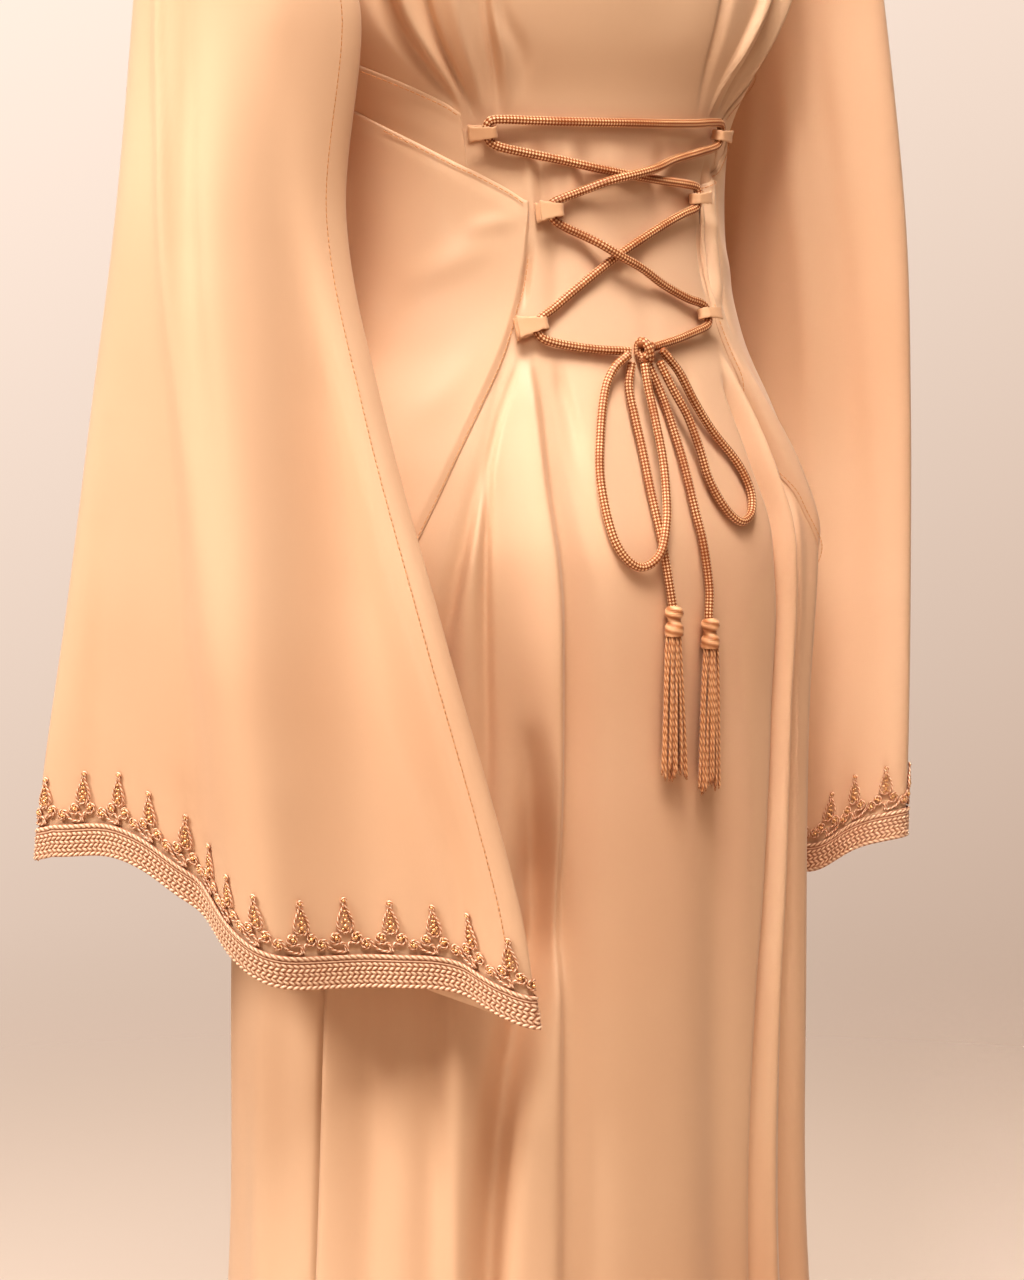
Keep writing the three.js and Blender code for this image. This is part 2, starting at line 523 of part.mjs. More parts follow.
/**
 * A piece laid on the body. Its columns stand at the angles of the table, and its rows are
 * the body's own levels, pressed together where they run past the table's edges.
 */
function bodyOverlay(name, table, mirror) {
  const columns = table.flatMap((row, i) => {
    const next = table[i + 1];
    const wide = next && next.angle - row.angle > COLUMN_WIDEST;
    const half = (key) => (row[key] + next[key]) / 2;
    return wide ? [row, { angle: half('angle'), top: half('top'), low: half('low') }] : [row];
  });
  const highest = Math.max(...columns.map((row) => row.top));
  const lowest = Math.min(...columns.map((row) => row.low));
  const levels = [lowest, ...BODY_LEVELS.filter((z) => z > lowest && z < highest), highest];
  const heightAt = ({ top, low }, i) => Math.min(
    Math.max(levels[i], low + ROW_PRESSED * i), top - ROW_PRESSED * (levels.length - 1 - i));
  const places = levels.map((_, i) => columns.map((row) => [mirror * row.angle, heightAt(row, i)]));
  const grid = places.map((line) => line.map((place) => facetPoint(...place)));
  const normals = places.map((line) => line.map((place) => bodyNormal(...place)));
  addPiece(name, wall(grid, normals, OVERLAY, OVERLAY + CLOTH, false), SATIN);
}

bodyOverlay('waist_band_left', BAND, 1);
bodyOverlay('waist_band_right', BAND, -1);
bodyOverlay('hip_panel_left', HIP_LEFT, 1);
bodyOverlay('hip_panel_right', HIP_RIGHT, -1);

// ---------------------------------------------------------------- sleeves and their trims
/** Sleeve, and the braid and cording that are laid on the points of its hem. */
function sleeve(word, rows, folds) {
  const ringAt = (t) => Array.from({ length: SLEEVE_COLUMNS },
    (_, j) => sleevePoint(rows, folds, (j + 0.5) / SLEEVE_COLUMNS, t));
  const hem = ringAt(1);
  const higher = ringAt(TRIM_RUN_T);
  /** Ring a given height above the hem, along the sleeve's own cloth. */
  const above = (height) => hem.map((point, j) => {
    const run = higher[j].clone().sub(point);
    return point.clone().addScaledVector(run, height / run.length());
  });
  const motifFoot = BRAID_HEIGHT + TRIM_GAP;
  const heights = [motifFoot + MOTIF_HEIGHT, motifFoot, 0];
  const grid = [...SLEEVE_LEVELS.map(ringAt), ...heights.map(above)];
  const normals = ringNormals(grid);
  normals[0].forEach((normal) => normal.setX(0).normalize());
  addPiece(`sleeve_${word}`, wall(grid, normals, -CLOTH, 0, true), SATIN);

  const bottom = grid.length - 1;
  const bandGrid = [above(BRAID_HEIGHT), hem];
  const bandNormals = [normals[bottom], normals[bottom]];
  addPiece(`cuff_braid_${word}`,
    wall(bandGrid, bandNormals, TRIM_LIFT, TRIM_LIFT + BRAID_THICK, true), CORD);

  const peaks = [1, MOTIF_LOW / MOTIF_HEIGHT, MOTIF_LOW / MOTIF_HEIGHT];
  const around = MOTIF_COUNT * peaks.length;
  /** Value on the two facets of the cell above the band, at a column and a share of its height. */
  const onFacets = (rings, k, share) => {
    const column = k * SLEEVE_COLUMNS / around;
    const j = Math.floor(column);
    const f = column - j;
    const g = 1 - share;
    const [a, b] = [rings[0][j], rings[0][(j + 1) % SLEEVE_COLUMNS]];
    const [d, c] = [rings[1][j], rings[1][(j + 1) % SLEEVE_COLUMNS]];
    const corner = f >= g ? b : d;
    const [toA, toC] = f >= g ? [1 - f, g] : [1 - g, f];
    return corner.clone().multiplyScalar(1 - toA - toC).addScaledVector(a, toA)
      .addScaledVector(c, toC);
  };
  const count = Array.from({ length: around }, (_, k) => k);
  const trefoils = (rings) => [count.map((k) => onFacets(rings, k, peaks[k % peaks.length])),
    count.map((k) => onFacets(rings, k, 0))];
  const motifGrid = trefoils(grid.slice(bottom - 2, bottom));
  const motifNormals = trefoils(normals.slice(bottom - 2, bottom))
    .map((line) => line.map((normal) => normal.normalize()));
  addPiece(`cuff_embroidery_${word}`,
    wall(motifGrid, motifNormals, MOTIF_LIFT, MOTIF_LIFT + MOTIF_THICK, true), CORD);
}

sleeve('left', SLEEVE_LEFT, SLEEVE_LEFT_FOLDS);
sleeve('right', SLEEVE_RIGHT, SLEEVE_RIGHT_FOLDS);

// ---------------------------------------------------------------- cords
/** Point that stands a given lift off the body's cloth. */
const onBody = (angle, z, lift) => facetPoint(angle, z)
  .addScaledVector(bodyNormal(angle, z), lift);

/** Curve through the points of a route, with as many steps between every two of them. */
class Route extends THREE.CatmullRomCurve3 {
  getPointAt(u, target) {
    return this.getPoint(u, target);
  }

  getTangentAt(u, target) {
    return this.getTangent(u, target);
  }
}

/** Round cord along a route of angles, heights and lifts. */
function cord(name, route) {
  const path = new Route(route.map((row) => onBody(...row)), false, 'centripetal');
  const steps = Math.round(CORD_STEPS * (route.length - 1));
  const section = new THREE.Shape(Array.from({ length: CORD_SIDES }, (_, k) => {
    const turn = 2 * Math.PI * (k + 0.5) / CORD_SIDES;
    return new THREE.Vector2(CORD_RADIUS * Math.cos(turn), CORD_RADIUS * Math.sin(turn));
  }));
  addPiece(name, new THREE.ExtrudeGeometry(section,
    { steps, extrudePath: path, bevelEnabled: false, curveSegments: 1 }), CORD);
}

cord('lacing_cord_left', LACING_LEFT);
cord('lacing_cord_right', LACING_RIGHT);
cord('bow_loop_left', BOW_LEFT);
cord('bow_loop_right', BOW_RIGHT);
cord('cord_tail_left', TAIL_LEFT);
cord('cord_tail_right', TAIL_RIGHT);

// The knot: a tight lump, wider than it is high.
const knot = new THREE.SphereGeometry(1, 12, 8);
knot.scale(KNOT.across, KNOT.deep, KNOT.high);
knot.translate(...onBody(KNOT.angle, KNOT.z, KNOT.lift).toArray());
addPiece('bow_knot', knot, CORD);

/** Directions at a place on the body: round it towards +angle, outward, and up along it. */
function frameAt(angle, z) {
  const out = bodyNormal(angle, z);
  const round = bodyPoint(angle + 0.5, z).sub(bodyPoint(angle - 0.5, z)).normalize();
  const up = vector(0, 0, 0).crossVectors(round, out).normalize();
  return { round, out, up: up.z < 0 ? up.negate() : up };
}

/** A folded strap: a flat ring round the cord, as wide as the strap. */
function loop({ name, root, tip, z }) {
  const a = onBody(root, z, LOOP.lift + LOOP.high / 2);
  const b = onBody(tip, z, LOOP.lift + LOOP.high / 2);
  const along = b.clone().sub(a);
  const length = along.length();
  along.normalize();
  const frame = frameAt((root + tip) / 2, z);
  const up = frame.up.clone().addScaledVector(along, -frame.up.dot(along)).normalize();
  const out = vector(0, 0, 0).crossVectors(up, along).normalize();
  if (out.dot(frame.out) < 0) out.negate();
  const outline = (shape, inset) => {
    const r = LOOP.high / 2 - inset;
    shape.moveTo(inset, -r);
    shape.lineTo(length - LOOP.high / 2, -r);
    shape.absarc(length - LOOP.high / 2, 0, r, -Math.PI / 2, Math.PI / 2, false);
    shape.lineTo(inset, r);
    shape.closePath();
    return shape;
  };
  const shape = outline(new THREE.Shape(), 0);
  shape.holes.push(outline(new THREE.Path(), LOOP.cloth));
  const strap = new THREE.ExtrudeGeometry(shape,
    { depth: LOOP.wide, steps: 1, bevelEnabled: false, curveSegments: 6 });
  strap.translate(0, 0, -LOOP.wide / 2);
  const third = vector(0, 0, 0).crossVectors(along, out);
  strap.applyMatrix4(new THREE.Matrix4().makeBasis(along, out, third).setPosition(a));
  addPiece(name, strap, SATIN);
}
LOOPS.forEach(loop);

// ---------------------------------------------------------------- tassels
/** A geometry as a solid that can be joined to another. */
function solid(geometry) {
  const bare = geometry.clone();
  bare.deleteAttribute('normal');
  bare.deleteAttribute('uv');
  const merged = mergeVertices(bare, 1e-4);
  return new wasm.Manifold(new wasm.Mesh({ numProp: 3,
    vertProperties: new Float32Array(merged.attributes.position.array),
    triVerts: new Uint32Array(merged.index.array) }));
}

/** A joined solid as a geometry again. */
function geometryOf(joined) {
  const mesh = joined.getMesh();
  const geometry = new THREE.BufferGeometry();
  geometry.setAttribute('position', new THREE.BufferAttribute(mesh.vertProperties, 3));
  geometry.setIndex(new THREE.BufferAttribute(mesh.triVerts, 1));
  return geometry;
}

/** Tassel: a wrapped head with twisted cords that spread from it. */
function tassel(name, { angle, top, lift }) {
  const frame = frameAt(angle, top - TASSEL.length / 2);
  const start = onBody(angle, top, lift);
  const reach = onBody(angle, top - TASSEL.length, lift + TASSEL.lean);
  const down = reach.clone().sub(start).normalize();
  const round = frame.round.clone().addScaledVector(down, -frame.round.dot(down)).normalize();
  const out = vector(0, 0, 0).crossVectors(round, down).normalize();
  if (out.dot(frame.out) < 0) out.negate();
  const high = TASSEL.headHeight;
  const r = TASSEL.headRadius;
  const profile = TASSEL_HEAD.map((row) => new THREE.Vector2(row.out * r, row.at * high));
  let whole = solid(new THREE.LatheGeometry(profile, 12));
  for (let k = 0; k < TASSEL.strands; k++) {
    const turn = 2 * Math.PI * (k + 0.5) / TASSEL.strands;
    const share = k % 3 === 0 ? TASSEL.innerShare : 1;
    const root = r * TASSEL.rootShare * share;
    const foot = vector(Math.cos(turn) * root, high - TASSEL.inHead, Math.sin(turn) * root);
    const end = vector(Math.cos(turn) * TASSEL.spread * share,
      TASSEL.length - TASSEL.uneven * (k % 4), Math.sin(turn) * TASSEL.depth * share);
    const run = end.clone().sub(foot);
    const strand = new THREE.CylinderGeometry(TASSEL.strandRadius, TASSEL.strandRadius,
      run.length(), 3, 1);
    strand.applyQuaternion(new THREE.Quaternion().setFromUnitVectors(vector(0, 1, 0),
      run.clone().normalize()));
    strand.translate(...foot.add(end).multiplyScalar(0.5).toArray());
    whole = whole.add(solid(strand));
  }
  const geometry = geometryOf(whole);
  const third = vector(0, 0, 0).crossVectors(round, down);
  geometry.applyMatrix4(new THREE.Matrix4().makeBasis(round, down, third).setPosition(start));
  addPiece(name, geometry, CORD);
}
tassel('tassel_left', TASSEL_LEFT);
tassel('tassel_right', TASSEL_RIGHT);

export default group;
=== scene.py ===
# A floor-length satin kaftan, worn, whose waist is drawn in at the back by a laced cord.
# Shapes are worked out in millimetres and put into the meshes in metres: +Z up, the back is
# +Y, the wearer's left is +X, and angles are degrees round the body from the centre back.
import math
import bpy
import numpy as np
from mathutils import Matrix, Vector


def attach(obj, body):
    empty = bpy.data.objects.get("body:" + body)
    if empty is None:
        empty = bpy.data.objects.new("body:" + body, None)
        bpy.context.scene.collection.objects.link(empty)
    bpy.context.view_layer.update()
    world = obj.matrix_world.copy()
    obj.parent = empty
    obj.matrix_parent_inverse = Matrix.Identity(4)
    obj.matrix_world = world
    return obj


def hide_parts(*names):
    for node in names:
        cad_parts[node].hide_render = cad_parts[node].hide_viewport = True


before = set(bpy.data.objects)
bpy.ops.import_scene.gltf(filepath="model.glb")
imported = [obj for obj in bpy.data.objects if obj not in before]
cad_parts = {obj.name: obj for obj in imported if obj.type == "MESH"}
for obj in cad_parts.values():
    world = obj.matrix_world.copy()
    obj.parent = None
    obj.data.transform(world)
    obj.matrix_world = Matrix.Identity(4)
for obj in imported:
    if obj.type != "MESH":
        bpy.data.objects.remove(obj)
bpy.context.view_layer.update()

# ---------------------------------------------------------------------------------- camera
# Stands behind the wearer's left shoulder at waist height, looking slightly down.
CAMERA_TURN = math.radians(145)
CAMERA_TILT = math.radians(7)
CAMERA_DISTANCE = 2.1
CAMERA_LENS = 98.44     # mm
CAMERA_AIM = Vector((0.0029, -0.0021, -0.680))

camera_data = bpy.data.cameras.new("camera")
camera_data.lens = CAMERA_LENS
camera_data.clip_start = 0.05
camera = bpy.data.objects.new("camera", camera_data)
bpy.context.collection.objects.link(camera)
backward = Vector((
    math.sin(CAMERA_TURN) * math.cos(CAMERA_TILT),
    -math.cos(CAMERA_TURN) * math.cos(CAMERA_TILT),
    math.sin(CAMERA_TILT),
))
camera.location = CAMERA_AIM + backward * CAMERA_DISTANCE
camera.rotation_euler = (-backward).to_track_quat("-Z", "Y").to_euler()
bpy.context.scene.camera = camera


# ------------------------------------------------------------------------- cords of the waist
# One round braid of silk, 5 mm across, laced through the loops, tied in a bow at the middle,
# with two free ends. Sixteen copper and cream threads cross over and under each other.
def through(xs, ys, x):
    """Smooth curve through (xs, ys): cubic pieces whose slope at each point is that of the
    chord between its two neighbours."""
    xs, ys, x = (np.asarray(a, float) for a in (xs, ys, x))
    if xs[0] > xs[-1]:
        xs, x = -xs, -x
    slope = np.empty_like(ys)
    slope[1:-1] = (ys[2:] - ys[:-2]) / (xs[2:] - xs[:-2])
    slope[0] = (ys[1] - ys[0]) / (xs[1] - xs[0])
    slope[-1] = (ys[-1] - ys[-2]) / (xs[-1] - xs[-2])
    i = np.clip(np.searchsorted(xs, x) - 1, 0, len(xs) - 2)
    span = xs[i + 1] - xs[i]
    f = np.clip((x - xs[i]) / span, 0, 1)
    rise = f * f * (3 - 2 * f)
    return (ys[i] + (ys[i + 1] - ys[i]) * rise
            + span * f * (1 - f) * ((1 - f) * slope[i] - f * slope[i + 1]))


def ease(f):
    """Rises smoothly from 0 to 1 as f does."""
    f = np.clip(f, 0, 1)
    return f * f * (3 - 2 * f)


# Height, half width, depth behind and depth in front of the middle line.
BODY = np.array([
    (-1440, 238, 198, 190), (-1250, 209, 172, 166), (-1060, 188, 152, 148),
    (-870, 185, 148, 142), (-720, 184, 148, 134), (-620, 187, 149, 124),
    (-573, 175, 138, 118), (-537, 158, 127, 113), (-500, 140, 116, 108),
    (-455, 130, 106, 104), (-400, 130, 102, 104), (-365, 140, 104, 110),
    (-325, 168, 116, 122), (-290, 182, 122, 127), (-245, 184, 120, 126),
], float)
# Folds: heights, angle at each, width at each in degrees, depth at each in mm, and how much
# wider the side of larger angles is than the other.
FOLDS = [
    # fan below the low loop of the left side
    ((-500, -523, -575, -612, -647, -671, -864, -1440), (31.7, 33.1, 36.2, 39.2, 41.8, 43.8, 45, 46),
     (1.0, 1.1, 1.2, 1.3, 1.4, 1.5, 2.4, 4), (0, -3.5, -4.5, -5, -5, -5, -4, -6), 1.6),
    ((-500, -523, -575, -612, -647, -700, -864, -1440), (30.4, 32.6, 35.3, 37.2, 38.6, 39.2, 40.5, 42),
     (0.9, 1.1, 1.4, 1.8, 2.2, 2.6, 3.0, 4), (0, 3.6, 4.2, 4.5, 4.5, 4, 5, 7), 1.2),
    ((-500, -523, -560, -605, -647, -750, -830, -1440), (29.2, 31.9, 34.4, 35.1, 35.3, 35.3, 35.6, 36),
     (0.8, 0.9, 0.95, 1.0, 1.1, 1.4, 1.8, 3), (0, -3.6, -4.8, -5, -4.6, -3.0, 0, 0), 1.0),
    ((-500, -530, -587, -633, -679, -729, -808, -900, -1440),
     (28.6, 26.2, 23.8, 22.4, 22.2, 22.2, 22.4, 22.4, 25),
     (0.8, 0.9, 1.0, 1.0, 1.1, 1.1, 1.4, 2.0, 4), (0, 3.6, 6, 8, 9.5, 10, 8, 6, 4), 5.0),
    ((-500, -530, -587, -633, -679, -729, -808, -900, -1440),
     (27.6, 24.1, 21.8, 20.2, 20.0, 20.0, 20.2, 20.2, 22),
     (2.0, 2.6, 3.4, 4.0, 4.4, 4.6, 5.0, 5.4, 6), (0, -2.8, -4.6, -6, -7, -7.5, -7, -6, -6), 0.28),
    ((-700, -750, -797, -836, -864, -950, -1025, -1440), (28, 26.6, 25.8, 25.6, 28, 33, 35, 38),
     (2.4, 3.2, 4.0, 4.2, 4.0, 3.6, 3.2, 4), (0, -12, -27, -31, -27, -20, -15, -10), 1.0),
    ((-504, -527, -557, -590, -640), (23.2, 19.3, 16.9, 14.6, 14),
     (1.2, 1.6, 2.0, 2.6, 3), (0, -2.2, -2.4, -1.6, 0), 1.6),
    # seat and the middle of the skirt
    ((-505, -545, -620, -760, -1000, -1440), (14, 13, 12, 11, 11, 12),
     (5, 6, 8, 9, 9, 9), (0, 1.5, 3, 4, 5, 7), 1.0),
    ((-520, -600, -700, -860, -1060, -1440), (1, 1, 0, 0, -2, -2),
     (6, 8, 9, 10, 9, 9), (0, 1.2, 2.5, 5, 6, 8), 1.0),
    ((-560, -660, -760, -900, -1060, -1440), (-10, -12, -13, -13, -13, -14),
     (5, 6, 6, 6, 6, 7), (0, -1.5, -3, -4, -4, -6), 1.0),
    # thick folds below the low loop of the right side
    ((-515, -543, -571, -599, -627, -660, -709, -745, -827, -885, -1000, -1440),
     (-28.2, -29.8, -30.6, -32.4, -32.4, -33.6, -33.4, -33, -30.6, -28, -26, -23),
     (1.1, 1.3, 1.3, 1.3, 1.3, 1.3, 1.3, 1.3, 1.3, 1.4, 1.8, 3),
     (-4, -9, -11, -13, -14, -14, -14, -14, -13, -12, -9, -7), 1.5),
    ((-500, -519, -543, -571, -599, -627, -660, -709, -745, -827, -885, -1000, -1440),
     (-30.4, -31.4, -32.6, -33.2, -34.6, -35, -35.8, -35.8, -35.4, -33.4, -30.6, -28.6, -26),
     (1.4, 1.6, 1.8, 2.0, 2.0, 2.2, 2.2, 2.2, 2.2, 2.4, 2.6, 3.0, 4.5),
     (0, 3.5, 5.5, 6.5, 6.5, 5.5, 5, 4.5, 4.5, 4.5, 5, 5, 6), 0.8),
    ((-511, -532, -557, -586, -613, -646, -700, -900, -1440),
     (-33, -37, -41, -43, -42, -42, -42, -40, -36),
     (1.0, 1.1, 1.2, 1.3, 1.4, 1.5, 1.8, 2.4, 4), (0, -5, -8, -11, -13, -13, -13, -11, -8), 1.2),
    ((-500, -540, -575, -610, -660, -760, -1000, -1440), (-36, -43, -48, -51, -51, -50, -47, -45),
     (2.0, 3.0, 3.6, 4.0, 4.4, 5, 6, 6.5), (0, 4, 6, 7, 6, 5, 5, 6), 0.8),
    # sides and front
    ((-700, -870, -1030, -1440), (67, 68, 70, 73), (0.8, 0.8, 0.8, 0.8), (0, -1.2, -1.6, -1.6), 1.0),
    ((-700, -870, -1030, -1440), (-67, -68, -70, -73),
     (0.8, 0.8, 0.8, 0.8), (0, -1.2, -1.6, -1.6), 1.0),
    ((-560, -640, -760, -980, -1440), (52, 55, 57, 59, 60),
     (3, 3.5, 4.5, 5, 6), (0, -2.5, -5, -7, -9), 1.0),
    ((-600, -760, -980, -1440), (68, 70, 72, 74), (4, 5, 6, 7), (0, 4, 5, 7), 1.0),
    ((-760, -980, -1440), (84, 85, 86), (6, 7, 7), (0, 6, 7), 1.0),
    ((-760, -980, -1440), (-84, -85, -86), (6, 7, 7), (0, 6, 7), 1.0),
    ((-720, -960, -1440), (112, 118, 122), (5, 6, 6), (0, -7, -8), 1.0),
    ((-720, -960, -1440), (-112, -116, -124), (5, 6, 6), (0, -7, -8), 1.0),
    ((-640, -900, -1440), (146, 148, 146), (6, 7, 7), (0, 7, 8), 1.0),
    ((-640, -900, -1440), (-143, -146, -150), (6, 7, 7), (0, 7, 8), 1.0),
    ((-660, -900, -1440), (-68, -70, -70), (5, 6, 6), (0, -5, -7), 1.0),
    # gathers above the waist
    ((-150, -250, -310, -337, -368), (60, 56, 53, 49.6, 42.8),
     (5, 3.4, 2.2, 1.7, 1.1), (0, -5, -6.5, -5.5, 0), 1.3),
    ((-150, -250, -310, -337, -370), (52, 50, 48.6, 46, 41),
     (4, 3, 2.0, 1.5, 1.0), (0, 4.5, 5.5, 4.5, 0), 1.0),
    ((-150, -250, -310, -344, -372), (48, 46, 44.6, 42.3, 38.9),
     (3.4, 2.2, 1.4, 1.1, 0.9), (0, -5, -6.5, -6, 0), 1.0),
    ((-150, -250, -310, -344, -372), (40, 39, 38, 37.2, 36.6),
     (3.4, 2.6, 1.8, 1.3, 0.9), (0, 4.5, 6, 5, 0), 1.4),
    ((-200, -260, -310, -340, -372), (33, 32.6, 32.2, 32.1, 32.8),
     (3, 2, 1.2, 1.0, 0.8), (0, -3.5, -4.5, -4.2, 0), 1.0),
    ((-200, -260, -310, -340, -372), (30.6, 30.2, 30.4, 29.6, 30.4),
     (3, 2, 1.4, 1.2, 1.0), (0, 2.5, 3, 2.6, 0), 1.0),
    ((-230, -280, -316, -337, -362), (32, 30, 29, 25.5, 26.2),
     (4, 3, 2, 1.8, 1.4), (0, -2, -2.6, -2.4, 0), 1.0),
    ((-200, -260, -308, -337, -370), (-22, -22.4, -22.7, -23.6, -28),
     (3, 2.2, 1.6, 1.4, 1.1), (0, -3, -4, -3.4, 0), 1.0),
    ((-150, -250, -303, -336, -370), (-38, -37, -35.4, -32.8, -33),
     (4, 2.6, 1.6, 1.2, 0.9), (0, 5, 6.5, 5.5, 0), 0.5),
    ((-150, -250, -305, -332, -369), (-48, -46.5, -45, -42, -38.5),
     (3, 2.4, 1.8, 1.5, 1.0), (0, -5, -6.5, -5.5, 0), 1.0),
    ((-150, -250, -305, -335, -368), (-56, -53, -50, -47.5, -43),
     (4, 3, 2.2, 1.8, 1.2), (0, 4, 5, 4, 0), 1.0),
    ((-150, -200, -260, -330), (12, 10, 8, 6), (14, 14, 12, 10), (0, 3, 3, 0), 1.0),
    ((-150, -200, -260, -330), (-14, -12, -10, -8), (10, 10, 8, 6), (0, -2, -2.5, 0), 1.0),
    # crumpled edge of the right panel, and the gaps beside the panels' free edges
    ((-392, -404, -430, -460, -476), (-34.6, -34, -33.6, -33.8, -33), (0.9, 1.0, 1.0, 1.0, 0.9),
     (0, -3.6, -4.6, -4.0, 0), 1.0),
    ((-392, -405, -440, -468, -480), (-37.6, -37, -37.4, -36.6, -36), (1.3, 1.5, 1.5, 1.5, 1.2),
     (0, 3, 2.2, 3.4, 0), 1.0),
    ((-392, -404, -436, -466, -500), (-41.4, -40.4, -41, -40, -39), (1.2, 1.3, 1.3, 1.4, 1.2),
     (0, -3.4, -4.4, -3.6, 0), 1.0),
    ((-436, -450, -466, -478), (25.9, 26.8, 28, 29.2), (0.9, 0.9, 0.9, 0.9), (0, -4, -4, 0), 1.0),
    ((-428, -440, -462, -474), (-29.8, -30.1, -30.8, -31.2),
     (0.9, 0.9, 0.9, 0.9), (0, -3.6, -3.6, 0), 1.0),
    # soft puckers of the back under the lacing
    ((-376, -392, -410, -428), (12.5, 11.5, 11, 10), (1.6, 2.0, 2.2, 2), (0, -1.8, -1.6, 0), 1.0),
    ((-376, -392, -412, -430), (16.5, 15.5, 15, 15), (1.6, 2.2, 2.2, 2), (0, 1.6, 1.6, 0), 1.0),
    ((-376, -396, -420, -440), (24, 23, 22.4, 22), (1.4, 1.8, 2.0, 2), (0, -2.0, -2.2, 0), 1.0),
    ((-376, -396, -420, -440), (27, 26.4, 26, 25.6), (1.2, 1.6, 1.8, 2), (0, 1.6, 1.6, 0), 1.0),
    ((-376, -394, -416, -436), (4, 3, 2, 1), (2.4, 3.0, 3.4, 3), (0, 1.5, 1.3, 0), 1.0),
    ((-376, -394, -416, -436), (-14, -13, -12, -12), (2, 2.6, 3.0, 3), (0, -1.5, -1.5, 0), 1.0),
    ((-424, -440, -470, -500), (18, 19, 20, 21), (2, 2.5, 3, 3), (0, -1.4, -1.6, 0), 1.0),
    ((-430, -450, -480, -505), (-3, -4, -5, -6), (3, 3.6, 3.6, 3), (0, -1.2, -1.4, 0), 1.0),
    ((-500, -520, -548, -590), (22, 20, 18, 17), (1.4, 1.8, 2.2, 2.4), (0, -1.6, -1.6, 0), 1.0),
    ((-500, -520, -548, -590), (-14, -15, -16, -17), (1.4, 1.8, 2.2, 2.4), (0, -1.6, -1.6, 0), 1.0),
]


def fold_height(angle, z):
    """Sum over the folds of depth x exp(-(distance from the fold / its width) squared)."""
    out = np.zeros(np.broadcast(angle, z).shape)
    for heights, at, width, depth, skew in FOLDS:
        off = angle - through(heights, at, z)
        low = -np.asarray(heights, float)
        wide = np.interp(-z, low, width) * np.where(off > 0, skew, 1)
        inside = ease((heights[0] - z) / 20)
        out += inside * np.interp(-z, low, depth) * np.exp(-(off / wide) ** 2)
    return out


def body(angle, z):
    """Point of the body: an ellipse at height z, moved out by the folds."""
    angle, z = np.broadcast_arrays(np.asarray(angle, float), np.asarray(z, float))
    turn = np.radians(angle)
    half, behind, ahead = (through(BODY[:, 0], BODY[:, k], z) for k in (1, 2, 3))
    depth = np.where(np.cos(turn) > 0, behind, ahead)
    out = fold_height(angle, z)
    return np.stack([(half + out) * np.sin(turn), (depth + out) * np.cos(turn), z], -1)


def unit(v):
    """Vectors of length 1."""
    return v / np.maximum(np.linalg.norm(v, axis=-1, keepdims=True), 1e-9)


def off_body(angle, z, lift):
    """Point that stands a lift off the body along its normal."""
    angle, z, lift = (np.asarray(a, float) for a in (angle, z, lift))
    round_it = body(angle + 0.4, z) - body(angle - 0.4, z)
    up = body(angle, z + 1.5) - body(angle, z - 1.5)
    return body(angle, z) + unit(np.cross(up, round_it)) * lift[..., None]


def curve(rows, step):
    """Even points, step apart, on a smooth curve through rows of points."""
    rows = np.asarray(rows, float)
    at = np.concatenate([[0], np.cumsum(np.linalg.norm(np.diff(rows, axis=0), axis=1) ** 0.5)])
    fine = np.linspace(0, at[-1], 40 * len(rows))
    path = np.stack([through(at, rows[:, k], fine) for k in range(rows.shape[1])], -1)
    run = np.concatenate([[0], np.cumsum(np.linalg.norm(np.diff(path, axis=0), axis=1))])
    even = np.linspace(0, run[-1], max(2, int(round(run[-1] / step)) + 1))
    return np.stack([np.interp(even, run, path[:, k]) for k in range(rows.shape[1])], -1)


def carried(path):
    """Frames along a path: each side vector is the last one laid flat on the next section."""
    along = unit(np.gradient(path, axis=0))
    side = np.empty_like(path)
    first = np.cross(along[0], (0.0, 0.0, 1.0) if abs(along[0][2]) < 0.9 else (1.0, 0.0, 0.0))
    side[0] = first / np.linalg.norm(first)
    for i in range(1, len(path)):
        turned = side[i - 1] - along[i] * np.dot(side[i - 1], along[i])
        side[i] = turned / np.linalg.norm(turned)
    return along, side, np.cross(along, side)


def tube_grid(path, radius, sides):
    """Rings of points round a path; radius is a function of (share round, length along)."""
    along, side, other = carried(path)
    run = np.concatenate([[0], np.cumsum(np.linalg.norm(np.diff(path, axis=0), axis=1))])
    share = np.arange(sides) / sides
    turn = 2 * np.pi * share
    r = radius(share[None, :], run[:, None])
    ring = np.cos(turn)[None, :, None] * side[:, None] + np.sin(turn)[None, :, None] * other[:, None]
    return path[:, None] + ring * r[..., None], run


def put(name, verts, faces, uvs, material):
    """Object at the origin from points in mm, a list of face arrays and a UV for each corner."""
    mesh = bpy.data.meshes.new(name)
    mesh.vertices.add(len(verts))
    mesh.vertices.foreach_set("co", (np.asarray(verts) * 0.001).astype(np.float32).ravel())
    corners = np.concatenate([f.ravel() for f in faces])
    sizes = np.concatenate([np.full(len(f), f.shape[1]) for f in faces])
    mesh.loops.add(len(corners))
    mesh.loops.foreach_set("vertex_index", corners.astype(np.int32))
    mesh.polygons.add(len(sizes))
    starts = np.concatenate([[0], np.cumsum(sizes)[:-1]])
    mesh.polygons.foreach_set("loop_start", starts.astype(np.int32))
    mesh.polygons.foreach_set("use_smooth", np.ones(len(sizes), bool))
    layer = mesh.uv_layers.new(name="cloth")
    layer.data.foreach_set("uv", np.concatenate(uvs).astype(np.float32).ravel())
    mesh.update(calc_edges=True)
    mesh.materials.append(material)
    piece = bpy.data.objects.new(name, mesh)
    bpy.context.collection.objects.link(piece)
    return piece


